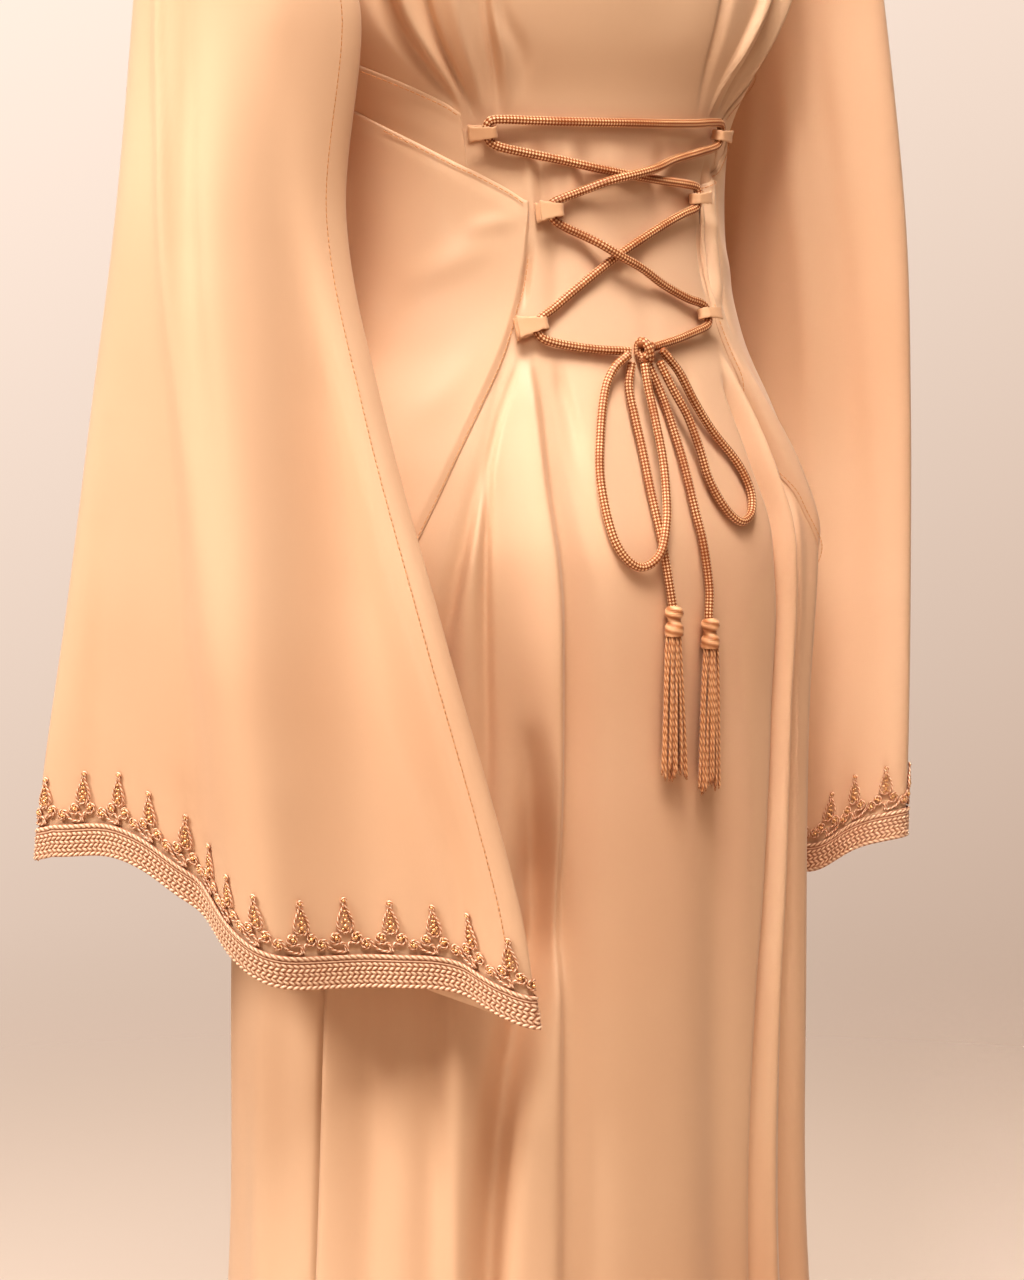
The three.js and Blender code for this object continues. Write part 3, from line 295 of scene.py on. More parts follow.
def quads(rows, columns, ring):
    """Corner numbers of the cells of a grid of points, and of the same grid unrolled."""
    index = np.arange(rows * columns).reshape(rows, columns)
    wide = np.hstack([index, index[:, :1]]) if ring else index
    flat = np.arange(rows * wide.shape[1]).reshape(rows, -1)
    return [np.stack([a[:-1, :-1], a[:-1, 1:], a[1:, 1:], a[1:, :-1]], -1).reshape(-1, 4)
            for a in (wide, flat)]


def tubes(name, groups, material):
    """One piece from groups of round cords: each has paths, a radius, a number of sides and
    how far its ends reach; rings along each path are closed by a fan at both ends."""
    verts, faces, uvs, base = [], [], [], 0
    for paths, radius, sides, cap_reach in groups:
        around = np.arange(sides)
        for path in paths:
            grid, run = tube_grid(path, radius, sides)
            cells, flat = quads(len(path), sides, True)
            u, v = np.meshgrid(np.arange(sides + 1) / sides, run * 0.001)
            uv = np.stack([u, v], -1).reshape(-1, 2)
            ends = np.stack([path[0] - unit(path[1] - path[0]) * cap_reach,
                             path[-1] + unit(path[-1] - path[-2]) * cap_reach])
            verts += [grid.reshape(-1, 3), ends]
            last, tip = base + (len(path) - 1) * sides, base + len(path) * sides
            start = np.stack([np.full(sides, tip), base + (around + 1) % sides, base + around], -1)
            end = np.stack([np.full(sides, tip + 1), last + around, last + (around + 1) % sides], -1)
            faces += [base + cells, start, end]
            uvs += [uv[flat.ravel()], np.tile([[0.5, 0.0]], (3 * sides, 1)),
                    np.tile([[0.5, run[-1] * 0.001]], (3 * sides, 1))]
            base = tip + 2
    return put(name, np.concatenate(verts), faces, uvs, material)


def linear(colour):
    """sRGB hex colour as linear red, green, blue and 1."""
    parts = [int(colour[i:i + 2], 16) / 255 for i in (1, 3, 5)]
    return (*(c / 12.92 if c < 0.04045 else ((c + 0.055) / 1.055) ** 2.4 for c in parts), 1.0)


def add(tree, kind, settings=None, **inputs):
    """Adds a shader node with its settings; an input is a value or the socket it comes from."""
    made = tree.nodes.new("ShaderNode" + kind)
    for key, value in (settings or {}).items():
        setattr(made, key, value)
    for key, value in inputs.items():
        socket = made.inputs[int(key[1:]) if key[0] == "n" and key[1:].isdigit()
                             else key.replace("_", " ")]
        if isinstance(value, bpy.types.NodeSocket):
            tree.links.new(value, socket)
        else:
            socket.default_value = value
    return made


def material(name):
    """Empty node material and its tree."""
    made = bpy.data.materials.new(name)
    made.use_nodes = True
    made.node_tree.nodes.clear()
    return made, made.node_tree


def finish(tree, surface):
    """Output of a material."""
    add(tree, "OutputMaterial", Surface=surface.outputs[0])


BRAID_PITCH = 0.0038    # m along the cord in which a thread goes once over and under
BRAID_THREADS = 4       # crossings round the cord

# Filament silk, braided of copper and cream threads. Its colour follows the relief of the crossings,
# so it is partly painted light: copper painted shade in the gaps between the threads, and cream flecks
# as painted highlight where a light thread lies on top.
silk_cord, tree = material("round braid of silk, copper and cream")
uv = add(tree, "UVMap")
apart = add(tree, "SeparateXYZ", n0=uv.outputs[0])
round_wave = add(tree, "Math", {"operation": "MULTIPLY"}, n0=apart.outputs[0],
                 n1=2 * math.pi * BRAID_THREADS)
long_wave = add(tree, "Math", {"operation": "MULTIPLY"}, n0=apart.outputs[1],
                n1=2 * math.pi / BRAID_PITCH)
one_way = add(tree, "Math", {"operation": "ADD"}, n0=round_wave.outputs[0], n1=long_wave.outputs[0])
other_way = add(tree, "Math", {"operation": "SUBTRACT"}, n0=round_wave.outputs[0],
                n1=long_wave.outputs[0])
ply_a = add(tree, "Math", {"operation": "SINE"}, n0=one_way.outputs[0])
ply_b = add(tree, "Math", {"operation": "SINE"}, n0=other_way.outputs[0])
crossed = add(tree, "Math", {"operation": "MULTIPLY"}, n0=ply_a.outputs[0], n1=ply_b.outputs[0])
weave = add(tree, "MapRange", Value=crossed.outputs[0], From_Min=-0.05, From_Max=0.40)
patches = add(tree, "TexNoise", Scale=60.0, Detail=2.0,
              Vector=add(tree, "TexCoord").outputs["Object"])
# Cream where the crossings stand up and copper in the gaps: thread colour and painted light together.
fleck_and_painted_light = add(tree, "Math", {"operation": "MULTIPLY"}, n0=weave.outputs[0],
            n1=add(tree, "MapRange", Value=patches.outputs[0], From_Min=0.3, From_Max=0.62,
                   To_Min=0.55, To_Max=1.0).outputs[0])
tint = add(tree, "Mix", {"data_type": "RGBA"}, Factor=fleck_and_painted_light.outputs[0],
           A=linear("#985529"), B=linear("#F1CCA4"))
bump = add(tree, "Bump", Strength=0.5, Distance=0.0004, Height=weave.outputs[0])
surface = add(tree, "BsdfPrincipled", Base_Color=tint.outputs[2], Roughness=0.42,
              Normal=bump.outputs[0], Sheen_Weight=0.1, Sheen_Roughness=0.4)
finish(tree, surface)

CORD_RADIUS = 2.5
BRAID_BUMP = 0.055      # share of the radius by which a crossing stands up or lies low


def braided(share, run):
    """Radius of the braid: raised where a thread lies on top, in a diamond lattice."""
    turn = 2 * np.pi * BRAID_THREADS * share
    pull = 2 * np.pi * run / (1000 * BRAID_PITCH)
    return CORD_RADIUS * (1 + BRAID_BUMP * np.sin(turn + pull) * np.sin(turn - pull))


# Rows of angle, height and lift of the cord's middle line.
LACING_LEFT = [
    (0, -374.6, 3.6), (12, -374.6, 3.6), (24, -374, 3.8), (31, -373.2, 5.0),
    (35, -373.6, 5.6), (36.4, -377, 5.7), (36.5, -381, 5.7), (36.2, -385, 5.7),
    (34, -388.4, 5.4), (28, -391.6, 4.2), (18, -396, 3.6), (6, -401.5, 3.6),
    (-9, -406.5, 3.6), (-20, -409, 4.6), (-25, -410.8, 5.5), (-26, -414, 5.7),
    (-26, -419.6, 5.7), (-24.6, -423.4, 5.5), (-19, -427, 4.4), (-9, -436, 3.6),
    (4, -451, 3.6), (16, -470, 3.6), (22, -480, 4.4), (25, -485, 5.4), (26, -489, 5.7),
    (26, -493, 5.7), (24.6, -496.8, 5.5), (20, -499.8, 4.4), (12, -502.5, 3.8), (3.4, -504.4, 5.4),
]
LACING_RIGHT = [
    (0.0, -374.6, 3.6), (-12, -374.6, 3.6), (-23, -374, 3.8), (-31, -372.8, 5.0),
    (-35.2, -373, 5.6), (-36.7, -376.2, 5.7), (-36.8, -380, 5.7), (-36.5, -384.2, 5.7),
    (-34.4, -387.4, 5.4), (-27, -390.8, 4.4), (-16, -396, 4.6), (-8, -400.4, 8.4),
    (-1, -404, 9.4), (6, -408, 8.6), (13, -413, 5.2), (17.6, -417.2, 5.0), (20.2, -420.6, 5.6),
    (20.7, -425, 5.7), (20.3, -429.2, 5.6), (18, -433, 5.0), (13, -438.6, 5.0), (9, -444, 8.4),
    (4, -451, 9.4), (-2, -458, 8.4), (-10, -467, 4.8), (-18, -475, 4.4), (-22.8, -478.4, 5.4),
    (-24.5, -482, 5.7), (-24.6, -488, 5.7), (-23, -491.8, 5.5), (-18, -494.8, 4.6),
    (-11, -498.6, 4.2), (-3.4, -502.6, 5.4),
]
BOW_LEFT = [
    (4.6, -507, 8.2), (8.3, -514, 7.0), (10.9, -526, 5.2), (12.7, -551, 3.6), (13.1, -575, 3.4),
    (12.1, -604, 3.4), (9.8, -618, 3.6), (7.0, -622, 4.6), (4.2, -616, 7.4), (2.4, -600, 8.9),
    (1.3, -582, 8.9), (0.8, -563, 8.9), (1.0, -541, 9.2), (1.4, -524, 9.8), (1.4, -513, 10.0),
]
BOW_RIGHT = [
    (-4.6, -505, 8.2), (-8.4, -517, 7.6), (-11.4, -534, 6.0), (-15.5, -551, 4.6),
    (-20.7, -570, 3.6), (-22.6, -586, 3.4), (-21.0, -598, 3.4), (-17.6, -602, 3.4),
    (-14.2, -595, 3.6), (-11.0, -578, 4.4), (-9.4, -560, 6.4), (-7.6, -542, 8.4),
    (-5.2, -528, 9.2), (-2.8, -512, 10.0),
]
TAIL_LEFT = [
    (3.2, -511, 4.8), (4.6, -524, 3.8), (4.3, -540, 3.6), (3.8, -558, 3.6), (3.4, -581, 3.6),
    (2.8, -604, 3.6), (2.2, -622, 3.8), (1.4, -644, 5.2), (1.3, -652, 6.0),
]
TAIL_RIGHT = [
    (-1.2, -512, 4.8), (-3.6, -530, 3.8), (-4.6, -546, 3.6), (-5.4, -568, 3.6),
    (-5.9, -593, 3.8), (-6.6, -612, 3.9), (-7.6, -636, 4.0), (-7.1, -653, 5.2), (-7.1, -661, 6.0),
]
CORD_STEP = 0.7
CORD_SIDES = 20


def route(rows):
    """Middle line of a cord from its rows of angle, height and lift."""
    rows = np.asarray(rows, float)
    return curve(off_body(rows[:, 0], rows[:, 1], rows[:, 2]), CORD_STEP)


def laid_cord(name, rows):
    """A run of the braid along its route, and the line it follows."""
    path = route(rows)
    piece = tubes(name + "_silk", [([path], braided, CORD_SIDES, 1.0)], silk_cord)
    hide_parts(name)
    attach(piece, "root")
    return piece, path


for name, rows in (("lacing_cord_left", LACING_LEFT), ("lacing_cord_right", LACING_RIGHT)):
    laid_cord(name, rows)

bow = {}
for name, rows in (("bow_loop_left", BOW_LEFT), ("bow_loop_right", BOW_RIGHT),
                   ("cord_tail_left", TAIL_LEFT), ("cord_tail_right", TAIL_RIGHT)):
    bow[name] = laid_cord(name, rows)

# The knot of the bow: one turn of the same braid pulled down over the crossing cords, and
# a second, flatter turn behind it.
KNOT_ANGLE, KNOT_Z, KNOT_LIFT = 0.0, -504.5, 6.6
knot_at = off_body(KNOT_ANGLE, KNOT_Z, KNOT_LIFT)
knot_out = unit(off_body(KNOT_ANGLE, KNOT_Z, 7.0) - off_body(KNOT_ANGLE, KNOT_Z, 3.0))
knot_side = np.array([1.0, 0.0, 0.0])
knot_up = np.cross(knot_side, knot_out)
knot_up = knot_up * np.sign(knot_up[2])


def wrap_turn(across, high, deep, slant, start, turns):
    """A turn of cord round the knot: an ellipse up and outward that slides sideways."""
    t = np.linspace(0, 1, 60)[:, None]
    a = 2 * np.pi * (start + turns * t)
    return (knot_at + knot_up * high * np.sin(a) + knot_out * deep * np.cos(a)
            + knot_side * (across * (t - 0.5) + slant * np.sin(a)))


knot_paths = [wrap_turn(4.0, 5.4, 3.9, 0.9, -0.30, 1.1),
              wrap_turn(-7.0, 4.0, 2.6, -1.6, 0.12, 1.0)]
bow_knot = tubes("bow_knot_silk", [(knot_paths, braided, CORD_SIDES, 1.0)], silk_cord)
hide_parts("bow_knot")
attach(bow_knot, "root")


# -------------------------------------------------------------------------------- tassels
# Each free end is knotted, wrapped with thread, and falls into twisted two-ply silk cords
# whose ends are cut and brushed out a little.
def painted_ply_silk(name, pitch, groove, dark, light, sheen):
    """Twisted silk of two plies, which turn once in a pitch (m), with painted light: painted shade in
    the groove between them and painted highlight along their backs, so that the cord looks like a fine
    rope."""
    made, tree = material(name)
    uv = add(tree, "UVMap")
    apart = add(tree, "SeparateXYZ", n0=uv.outputs[0])
    turns_u = add(tree, "Math", {"operation": "MULTIPLY"}, n0=apart.outputs[0], n1=4 * math.pi)
    turns_v = add(tree, "Math", {"operation": "MULTIPLY"}, n0=apart.outputs[1],
                  n1=2 * math.pi / pitch)
    ply = add(tree, "Math", {"operation": "ADD"}, n0=turns_u.outputs[0], n1=turns_v.outputs[0])
    ply_wave = add(tree, "Math", {"operation": "SINE"}, n0=ply.outputs[0])
    # Painted light: the groove between the plies darker, their backs lighter.
    painted_ply_light = add(tree, "MapRange", Value=ply_wave.outputs[0], From_Min=groove, From_Max=0.9)
    tint = add(tree, "Mix", {"data_type": "RGBA"}, Factor=painted_ply_light.outputs[0],
               A=linear(dark), B=linear(light))
    surface = add(tree, "BsdfPrincipled", Base_Color=tint.outputs[2], Roughness=0.45,
                  Sheen_Weight=sheen, Sheen_Roughness=0.4)
    finish(tree, surface)
    return made


def two_ply(radius, pitch):
    """Radius of a cord of two plies: an oval section that turns once in a pitch."""
    def at(share, run):
        turn = 4 * np.pi * share + 2 * np.pi * run / (1000 * pitch)
        return radius * (0.86 + 0.2 * np.cos(turn))
    return at


TASSEL_PITCH = 0.0042   # m in which the two plies turn once round each other
# Tassel thread with painted shade in the ply grooves and painted highlight on the ply backs.
tassel_silk = painted_ply_silk("twisted silk tassel thread", TASSEL_PITCH, -0.9, "#AE7248", "#E6B78E",
                       0.3)
TASSEL_LENGTH, TASSEL_HEAD = 99.0, 17.0
TASSEL_STRANDS, STRAND_RADIUS = 24, 0.95
# Half width of the bundle under the head, and its half width and half depth at the cut ends.
BUNDLE_ROOT, BUNDLE_WIDE, BUNDLE_DEEP = 3.8, 10.2, 4.6
GOLDEN_TURN = 0.618     # share of a turn between strands, which fills the bundle evenly
FIBRES = 5              # brushed fibres at the cut end of each strand
WRAP_PITCH, WRAP_HIGH = 1.1, 0.16       # of the thread that is wound round the head
# Depth below the top of the head, and its radius there.
TASSEL_PROFILE = ((0.0, 2.6), (1.2, 4.6), (3.2, 5.3), (5.4, 5.2), (7.0, 3.9), (8.4, 3.7), (9.8, 4.2),
                  (11.4, 5.2), (14.0, 5.5), (17.0, 5.2))


def tassel(name, angle, top, lift, seed):
    """Head turned from the profile with wrapped thread, and cords that spread from it."""
    rng = np.random.default_rng(seed)
    start = off_body(angle, top, lift)
    reach = off_body(angle, top - TASSEL_LENGTH, lift + 1.0)
    down = unit(reach - start)
    side = unit(off_body(angle + 1, top - 50, lift) - off_body(angle - 1, top - 50, lift))
    side = unit(side - down * np.dot(side, down))
    out = np.cross(side, down)
    out = out * np.sign(np.dot(out, off_body(angle, top, 9) - off_body(angle, top, 1)))
    paths = []
    for k in range(TASSEL_STRANDS):
        turn = 2 * np.pi * (k * GOLDEN_TURN)
        ring = math.sqrt((k + 0.5) / TASSEL_STRANDS)
        length = TASSEL_LENGTH - rng.uniform(0, 9)
        t = np.linspace(0, 1, 6)
        sway = rng.uniform(-1.2, 1.2, 2)
        spread = BUNDLE_ROOT + (BUNDLE_WIDE - BUNDLE_ROOT) * t ** 0.8
        flat = BUNDLE_ROOT + (BUNDLE_DEEP - BUNDLE_ROOT) * t
        x = np.cos(turn) * ring * spread + sway[0] * np.sin(3.1 * t + k)
        y = np.sin(turn) * ring * flat + sway[1] * 0.5 * np.sin(2.7 * t + k)
        d = TASSEL_HEAD - 2 + (length - TASSEL_HEAD + 2) * t
        rows = start + x[:, None] * side + y[:, None] * out + d[:, None] * down
        paths.append(curve(rows, 1.1))
    profile = np.array(TASSEL_PROFILE)
    depth = np.linspace(0, TASSEL_HEAD, 60)
    line = start + depth[:, None] * down
    ends = []
    for path in paths:
        for _ in range(FIBRES):
            lean = unit(unit(path[-1] - path[-3]) + rng.uniform(-0.42, 0.42, 3))
            ends.append(np.stack([path[-1] - lean, path[-1] + lean * 0.6,
                                  path[-1] + lean * rng.uniform(1.2, 2.4)]))

    def wrapped(share, run):
        return (through(profile[:, 0], profile[:, 1], run)
                + WRAP_HIGH * np.sin(2 * np.pi * (run / WRAP_PITCH + share)))

    def brushed(share, run):
        return 0.3 - 0.05 * run + 0 * share

    piece = tubes(name + "_silk", [(paths, two_ply(STRAND_RADIUS, TASSEL_PITCH), 8, 0.4),
                                   ([line], wrapped, 28, 0.5), (ends, brushed, 4, 0)],
                  tassel_silk)
    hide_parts(name)
    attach(piece, "root")
    return piece


tassel_left = tassel("tassel_left", 1.3, -644.6, 6.2, 3)
tassel_right = tassel("tassel_right", -7.1, -653.6, 6.2, 8)

# The bow's cords, with the kind of their far end, how they lie and what hangs on their ends; the loop
# only looks up each piece and its line.
for name, far_end, lay, ends in (
        ("bow_loop_left", "object", "hanging", ()),
        ("bow_loop_right", "object", "hanging", ()),
        ("cord_tail_left", "fitting", "hanging", [tassel_left]),
        ("cord_tail_right", "fitting", "hanging", [tassel_right])):
    piece, path = bow[name]


# --------------------------------------------------------------------- back and two fronts
# Full-length panels of heavy polyester satin, sewn at the sides and shoulders. The warp runs
# from shoulder to hem and floats on the face, so light slides off it in long soft streaks.
WARP_SPACING = 0.0009   # real threads lie 0.1 mm apart; drawn this coarse so that they show


def satin_cloth(name, face, shade, rough):
    """Satin whose UV is metres of cloth: fine warp lines, a slow change of shade and sheen.
    Its long floats give a soft, wide highlight that changes with every fold."""
    made, tree = material(name)
    uv = add(tree, "UVMap")
    warp = add(tree, "Mapping", Vector=uv.outputs[0],
               Scale=(1 / WARP_SPACING, 1 / (60 * WARP_SPACING), 1.0))
    lines = add(tree, "TexNoise", Vector=warp.outputs[0], Scale=1.0, Detail=3.0, Roughness=0.6)
    weft = add(tree, "Mapping", Vector=uv.outputs[0],
               Scale=(1 / (9 * WARP_SPACING), 1 / WARP_SPACING, 1.0))
    slubs = add(tree, "TexNoise", Vector=weft.outputs[0], Scale=1.0, Detail=2.0)
    both = add(tree, "Math", {"operation": "MULTIPLY_ADD"}, n0=slubs.outputs[0], n1=0.5,
               n2=lines.outputs[0])
    slow = add(tree, "TexNoise", Vector=add(tree, "TexCoord").outputs["Object"], Scale=4.5,
               Detail=2.0)
    tone = add(tree, "MapRange", Value=slow.outputs[0], From_Min=0.25, From_Max=0.75)
    tint = add(tree, "Mix", {"data_type": "RGBA"}, Factor=tone.outputs[0],
               A=linear(shade), B=linear(face))
    bump = add(tree, "Bump", Strength=0.12, Distance=0.0002, Height=both.outputs[0])
    surface = add(tree, "BsdfPrincipled", Base_Color=tint.outputs[2], Roughness=rough,
                  Normal=bump.outputs[0], Anisotropic=0.6, Specular_IOR_Level=0.42,
                  Specular_Tint=linear("#FFFAF4"), Sheen_Weight=0.16, Sheen_Roughness=0.35)
    finish(tree, surface)
    return made


satin = satin_cloth("peach satin, warp floats on the face", "#E2C0A2", "#DAB293", 0.46)
CLOTH_WALL = 0.9


def sheet_of(name, grid, uv, inside, ring=False):
    """Satin through a grid of points, faces turned away from `inside`, with a wall inwards."""
    rows, columns = grid.shape[:2]
    cells, flat = quads(rows, columns, ring)
    a, b, c = (grid.reshape(-1, 3)[cells[:, k]] for k in (0, 1, 3))
    out = np.cross(b - a, c - a)
    middle = np.broadcast_to(inside, grid.shape).reshape(-1, 3)[cells[:, 0]]
    if (out * (a - middle)).sum() < 0:
        cells, flat = cells[:, ::-1], flat[:, ::-1]
    piece = put(name, grid.reshape(-1, 3), [cells], [uv.reshape(-1, 2)[flat.ravel()]], satin)
    wall = piece.modifiers.new("wall", "SOLIDIFY")
    wall.thickness = CLOTH_WALL * 0.001
    wall.offset = -1
    return piece


HEM_Z, YOKE_Z = -1440.0, -245.0
# Height and angle of the side seam.
SIDE_SEAM = np.array([(-1440, 73), (-1030, 70), (-870, 68), (-640, 66), (-400, 74), (-245, 90)],
                     float)
NECK_HALF, NECK_SHARE, SHOULDER_SHARE = 78.0, 0.25, 0.58
NECK = {True: (62.0, 4.0), False: (72.0, 85.0)}     # depth and drop, behind and in front
ARM_X, ARM_TOP_X, ARM_LOW, ARM_TOP, ARM_DEPTH = 195.0, 192.0, -222.0, -44.0, 70.0
SEAM_GAP = 0.15         # from the plane of the shoulder seam to each panel


def seam_angle(z):
    """Angle of the side seam at a height."""
    return through(SIDE_SEAM[:, 0], SIDE_SEAM[:, 1], z)


def top_edge(share, behind):
    """Top edge of half a panel: round neckline, straight shoulder, half an oval armhole."""
    depth, drop = NECK[behind]
    turn = np.radians(90 * np.clip(share / NECK_SHARE, 0, 1))
    neck = np.stack([NECK_HALF * np.sin(turn), depth * np.cos(turn) + SEAM_GAP,
                     -drop * np.cos(turn) ** 1.4], -1)
    f = np.clip((share - NECK_SHARE) / (SHOULDER_SHARE - NECK_SHARE), 0, 1)
    shoulder = np.stack([NECK_HALF + (ARM_TOP_X - NECK_HALF) * f, SEAM_GAP + 0 * f, ARM_TOP * f], -1)
    turn = np.pi * (1 - np.clip((share - SHOULDER_SHARE) / (1 - SHOULDER_SHARE), 0, 1))
    rise = (1 - np.cos(turn)) / 2
    arm = np.stack([ARM_X + (ARM_TOP_X - ARM_X) * rise, ARM_DEPTH * np.sin(turn) + SEAM_GAP,
                    (ARM_TOP + ARM_LOW) / 2 - (ARM_TOP - ARM_LOW) / 2 * np.cos(turn)], -1)
    s = share[..., None]
    return np.where(s < NECK_SHARE, neck, np.where(s < SHOULDER_SHARE, shoulder, arm))


def panel(share, level, behind):
    """Panel point: the body up to the yoke; above it each column is a quarter of an ellipse
    from the yoke to the top edge. Level is a height, measured straight on above the yoke."""
    share, level = np.broadcast_arrays(share, level)
    size, right = np.abs(share), np.where(share < 0, -1.0, 1.0)
    z = np.minimum(level, YOKE_Z)
    seam = seam_angle(z)
    angle = right * (size * seam if behind else 180 - size * (180 - seam))
    low = body(angle, z)
    f = np.clip((level - YOKE_Z) / -YOKE_Z, 0, 1)
    turn = np.pi / 2 * f
    top = top_edge(size, behind)
    side = 1.0 if behind else -1.0
    high = np.stack([
        low[..., 0] + (right * top[..., 0] - low[..., 0]) * f ** 1.6,
        side * top[..., 1] + (low[..., 1] - side * top[..., 1]) * np.cos(turn),
        low[..., 2] + (top[..., 2] - low[..., 2]) * np.sin(turn),
    ], -1)
    return np.where(f[..., None] > 0, high, low)


def dense(marks, n):
    """n + 1 values whose spacing follows the marks: rows of (value, how close together)."""
    marks = np.array(marks, float)
    fine = np.linspace(marks[0, 0], marks[-1, 0], 2000)
    weight = np.interp(fine, marks[:, 0], marks[:, 1])
    run = np.concatenate([[0], np.cumsum((weight[1:] + weight[:-1]) / 2)])
    return np.interp(np.linspace(0, run[-1], n + 1), run, fine)


# Rows of the panels: height, and how close together they lie.
PANEL_ROWS = [(-1440, 0.6), (-900, 0.8), (-660, 2), (-560, 3), (-480, 3.4), (-360, 3),
              (-245, 1.4), (-60, 1.2), (0, 1.2)]
HALF_CUT = {True: 0.200, False: 0.270}  # m of cloth from middle to side, behind and in front


def body_piece(name, shares, behind, rows):
    """One panel, its real cut and what it hangs on."""
    levels = dense(PANEL_ROWS, rows)
    grid = panel(shares[None, :], levels[:, None], behind)
    u, v = np.meshgrid(shares * HALF_CUT[behind], levels * 0.001)
    piece = sheet_of(name + "_satin", grid, np.stack([u, v], -1),
                     np.stack([0 * grid[..., 0], 0 * grid[..., 1], grid[..., 2] - 60], -1))
    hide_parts(name)
    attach(piece, "root")


# Columns of the back: share of the way to the side seam, and how close together they lie.
BACK_COLUMNS = [(-1, 1), (-0.68, 1.7), (-0.36, 2.6), (0, 1.1), (0.3, 2.6), (0.66, 1.8), (1, 1)]
body_piece("back", dense(BACK_COLUMNS, 240), True, 168)
body_piece("front_left", dense([(0, 1), (1, 1)], 72), False, 100)
body_piece("front_right", dense([(-1, 1), (0, 1)], 72), False, 100)


# ------------------------------------------------------- bands and side panels of the waist
# Shaped pieces of the same satin laid over the waist and sewn down along their outer edges.
# The edge nearest the middle of the back is free and carries the loops.
# Angle, and height of the upper and of the lower edge there.
HIP_LEFT = np.array([
    (26.6, -419, -432), (28.2, -417.6, -456), (30, -415, -477), (33, -411, -502),
    (36.5, -407, -526), (40, -403, -551), (45, -398, -588), (51, -391.5, -624),
    (58, -384, -648), (66, -376, -663), (74, -368, -672), (82, -361, -677), (90, -356, -680),
], float)
HIP_RIGHT = np.array([
    (31, -413, -434), (31.8, -412, -462), (32.6, -411, -486), (34, -410, -503),
    (37, -406.5, -528), (40, -403, -551), (45, -398, -588), (51, -391.5, -624),
    (58, -384, -648), (66, -376, -663), (74, -368, -672), (82, -361, -677), (90, -356, -680),
], float)
BAND = np.array([
    (42.4, -370.5, -401), (46, -364.5, -399), (51, -358.5, -394), (58, -351, -387),
    (66, -343.5, -379), (74, -338, -371), (82, -334, -364), (90, -331, -359),
], float)
# Soft drag lines of a laid piece: ends as (angle, height), width and rise in mm.
DRAGS = [
    ((34, -440), (62, -468), 9, 1.6),
    ((33, -482), (58, -560), 12, 1.3),
    ((29, -428), (44, -436), 5, 1.2),
]
DEGREE = 2.0            # mm round the waist in a degree, near enough for the drag lines
HIP_LIFT, BAND_LIFT = 1.5, 0.6
EDGE_RISE = 0.9         # how far the cloth rises from a sewn edge
EDGE_RADIUS = 2.0       # and the distance in which it does


def laid_lift(angle, z, lift):
    """Height of a laid piece over the body: its lift and the soft drag lines that cross it."""
    out = np.full(np.broadcast(angle, z).shape, float(lift))
    size = np.abs(angle)
    for (a0, z0), (a1, z1), width, rise in DRAGS:
        over, up = (a1 - a0) * DEGREE, z1 - z0
        along = np.clip(((size - a0) * DEGREE * over + (z - z0) * up)
                        / (over ** 2 + up ** 2), 0, 1)
        off = np.hypot((size - a0) * DEGREE - along * over, z - z0 - along * up)
        out += rise * np.sin(np.pi * along) * np.exp(-(off / width) ** 2)
    return out


def laid_piece(name, table, mirror, rows, columns, ground):
    """A piece laid on the body between its upper and lower edge, with rounded edges: it lies
    lowest where it is sewn down, along the lower edge."""
    angle = dense([(table[0, 0], 3.0), (table[0, 0] + 6, 1.6), (table[-1, 0], 1)], columns)
    top, low = (through(table[:, 0], table[:, k], angle) for k in (1, 2))
    share = dense([(0, 3), (0.06, 1.2), (0.94, 1.2), (1, 3)], rows)[:, None]
    z = low + (top - low) * share
    over = np.broadcast_to(angle, z.shape)
    edge = np.minimum(np.minimum(z - low, top - z), (over - angle[0]) * 2.2)
    rounded = 1 - np.clip(1 - edge / EDGE_RADIUS, 0, 1) ** 2
    sewn = np.minimum(ease((z - low) / 16), 0.4 + 0.6 * ease((top - z) / 12))
    lift = (laid_lift(over, z, ground) + EDGE_RISE * rounded) * (0.25 + 0.75 * sewn)
    grid = off_body(mirror * over, z, lift)
    uv = np.stack([mirror * over * 0.0021, z * 0.001], -1)
    piece = sheet_of(name + "_satin", grid, uv, np.stack([0 * z, 0 * z, z], -1))
    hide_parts(name)
    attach(piece, "root")


for word, mirror, hip in (("left", 1, HIP_LEFT), ("right", -1, HIP_RIGHT)):
    laid_piece("waist_band_" + word, BAND, mirror, 14, 60, BAND_LIFT)
    laid_piece("hip_panel_" + word, hip, mirror, 70, 80, HIP_LIFT)


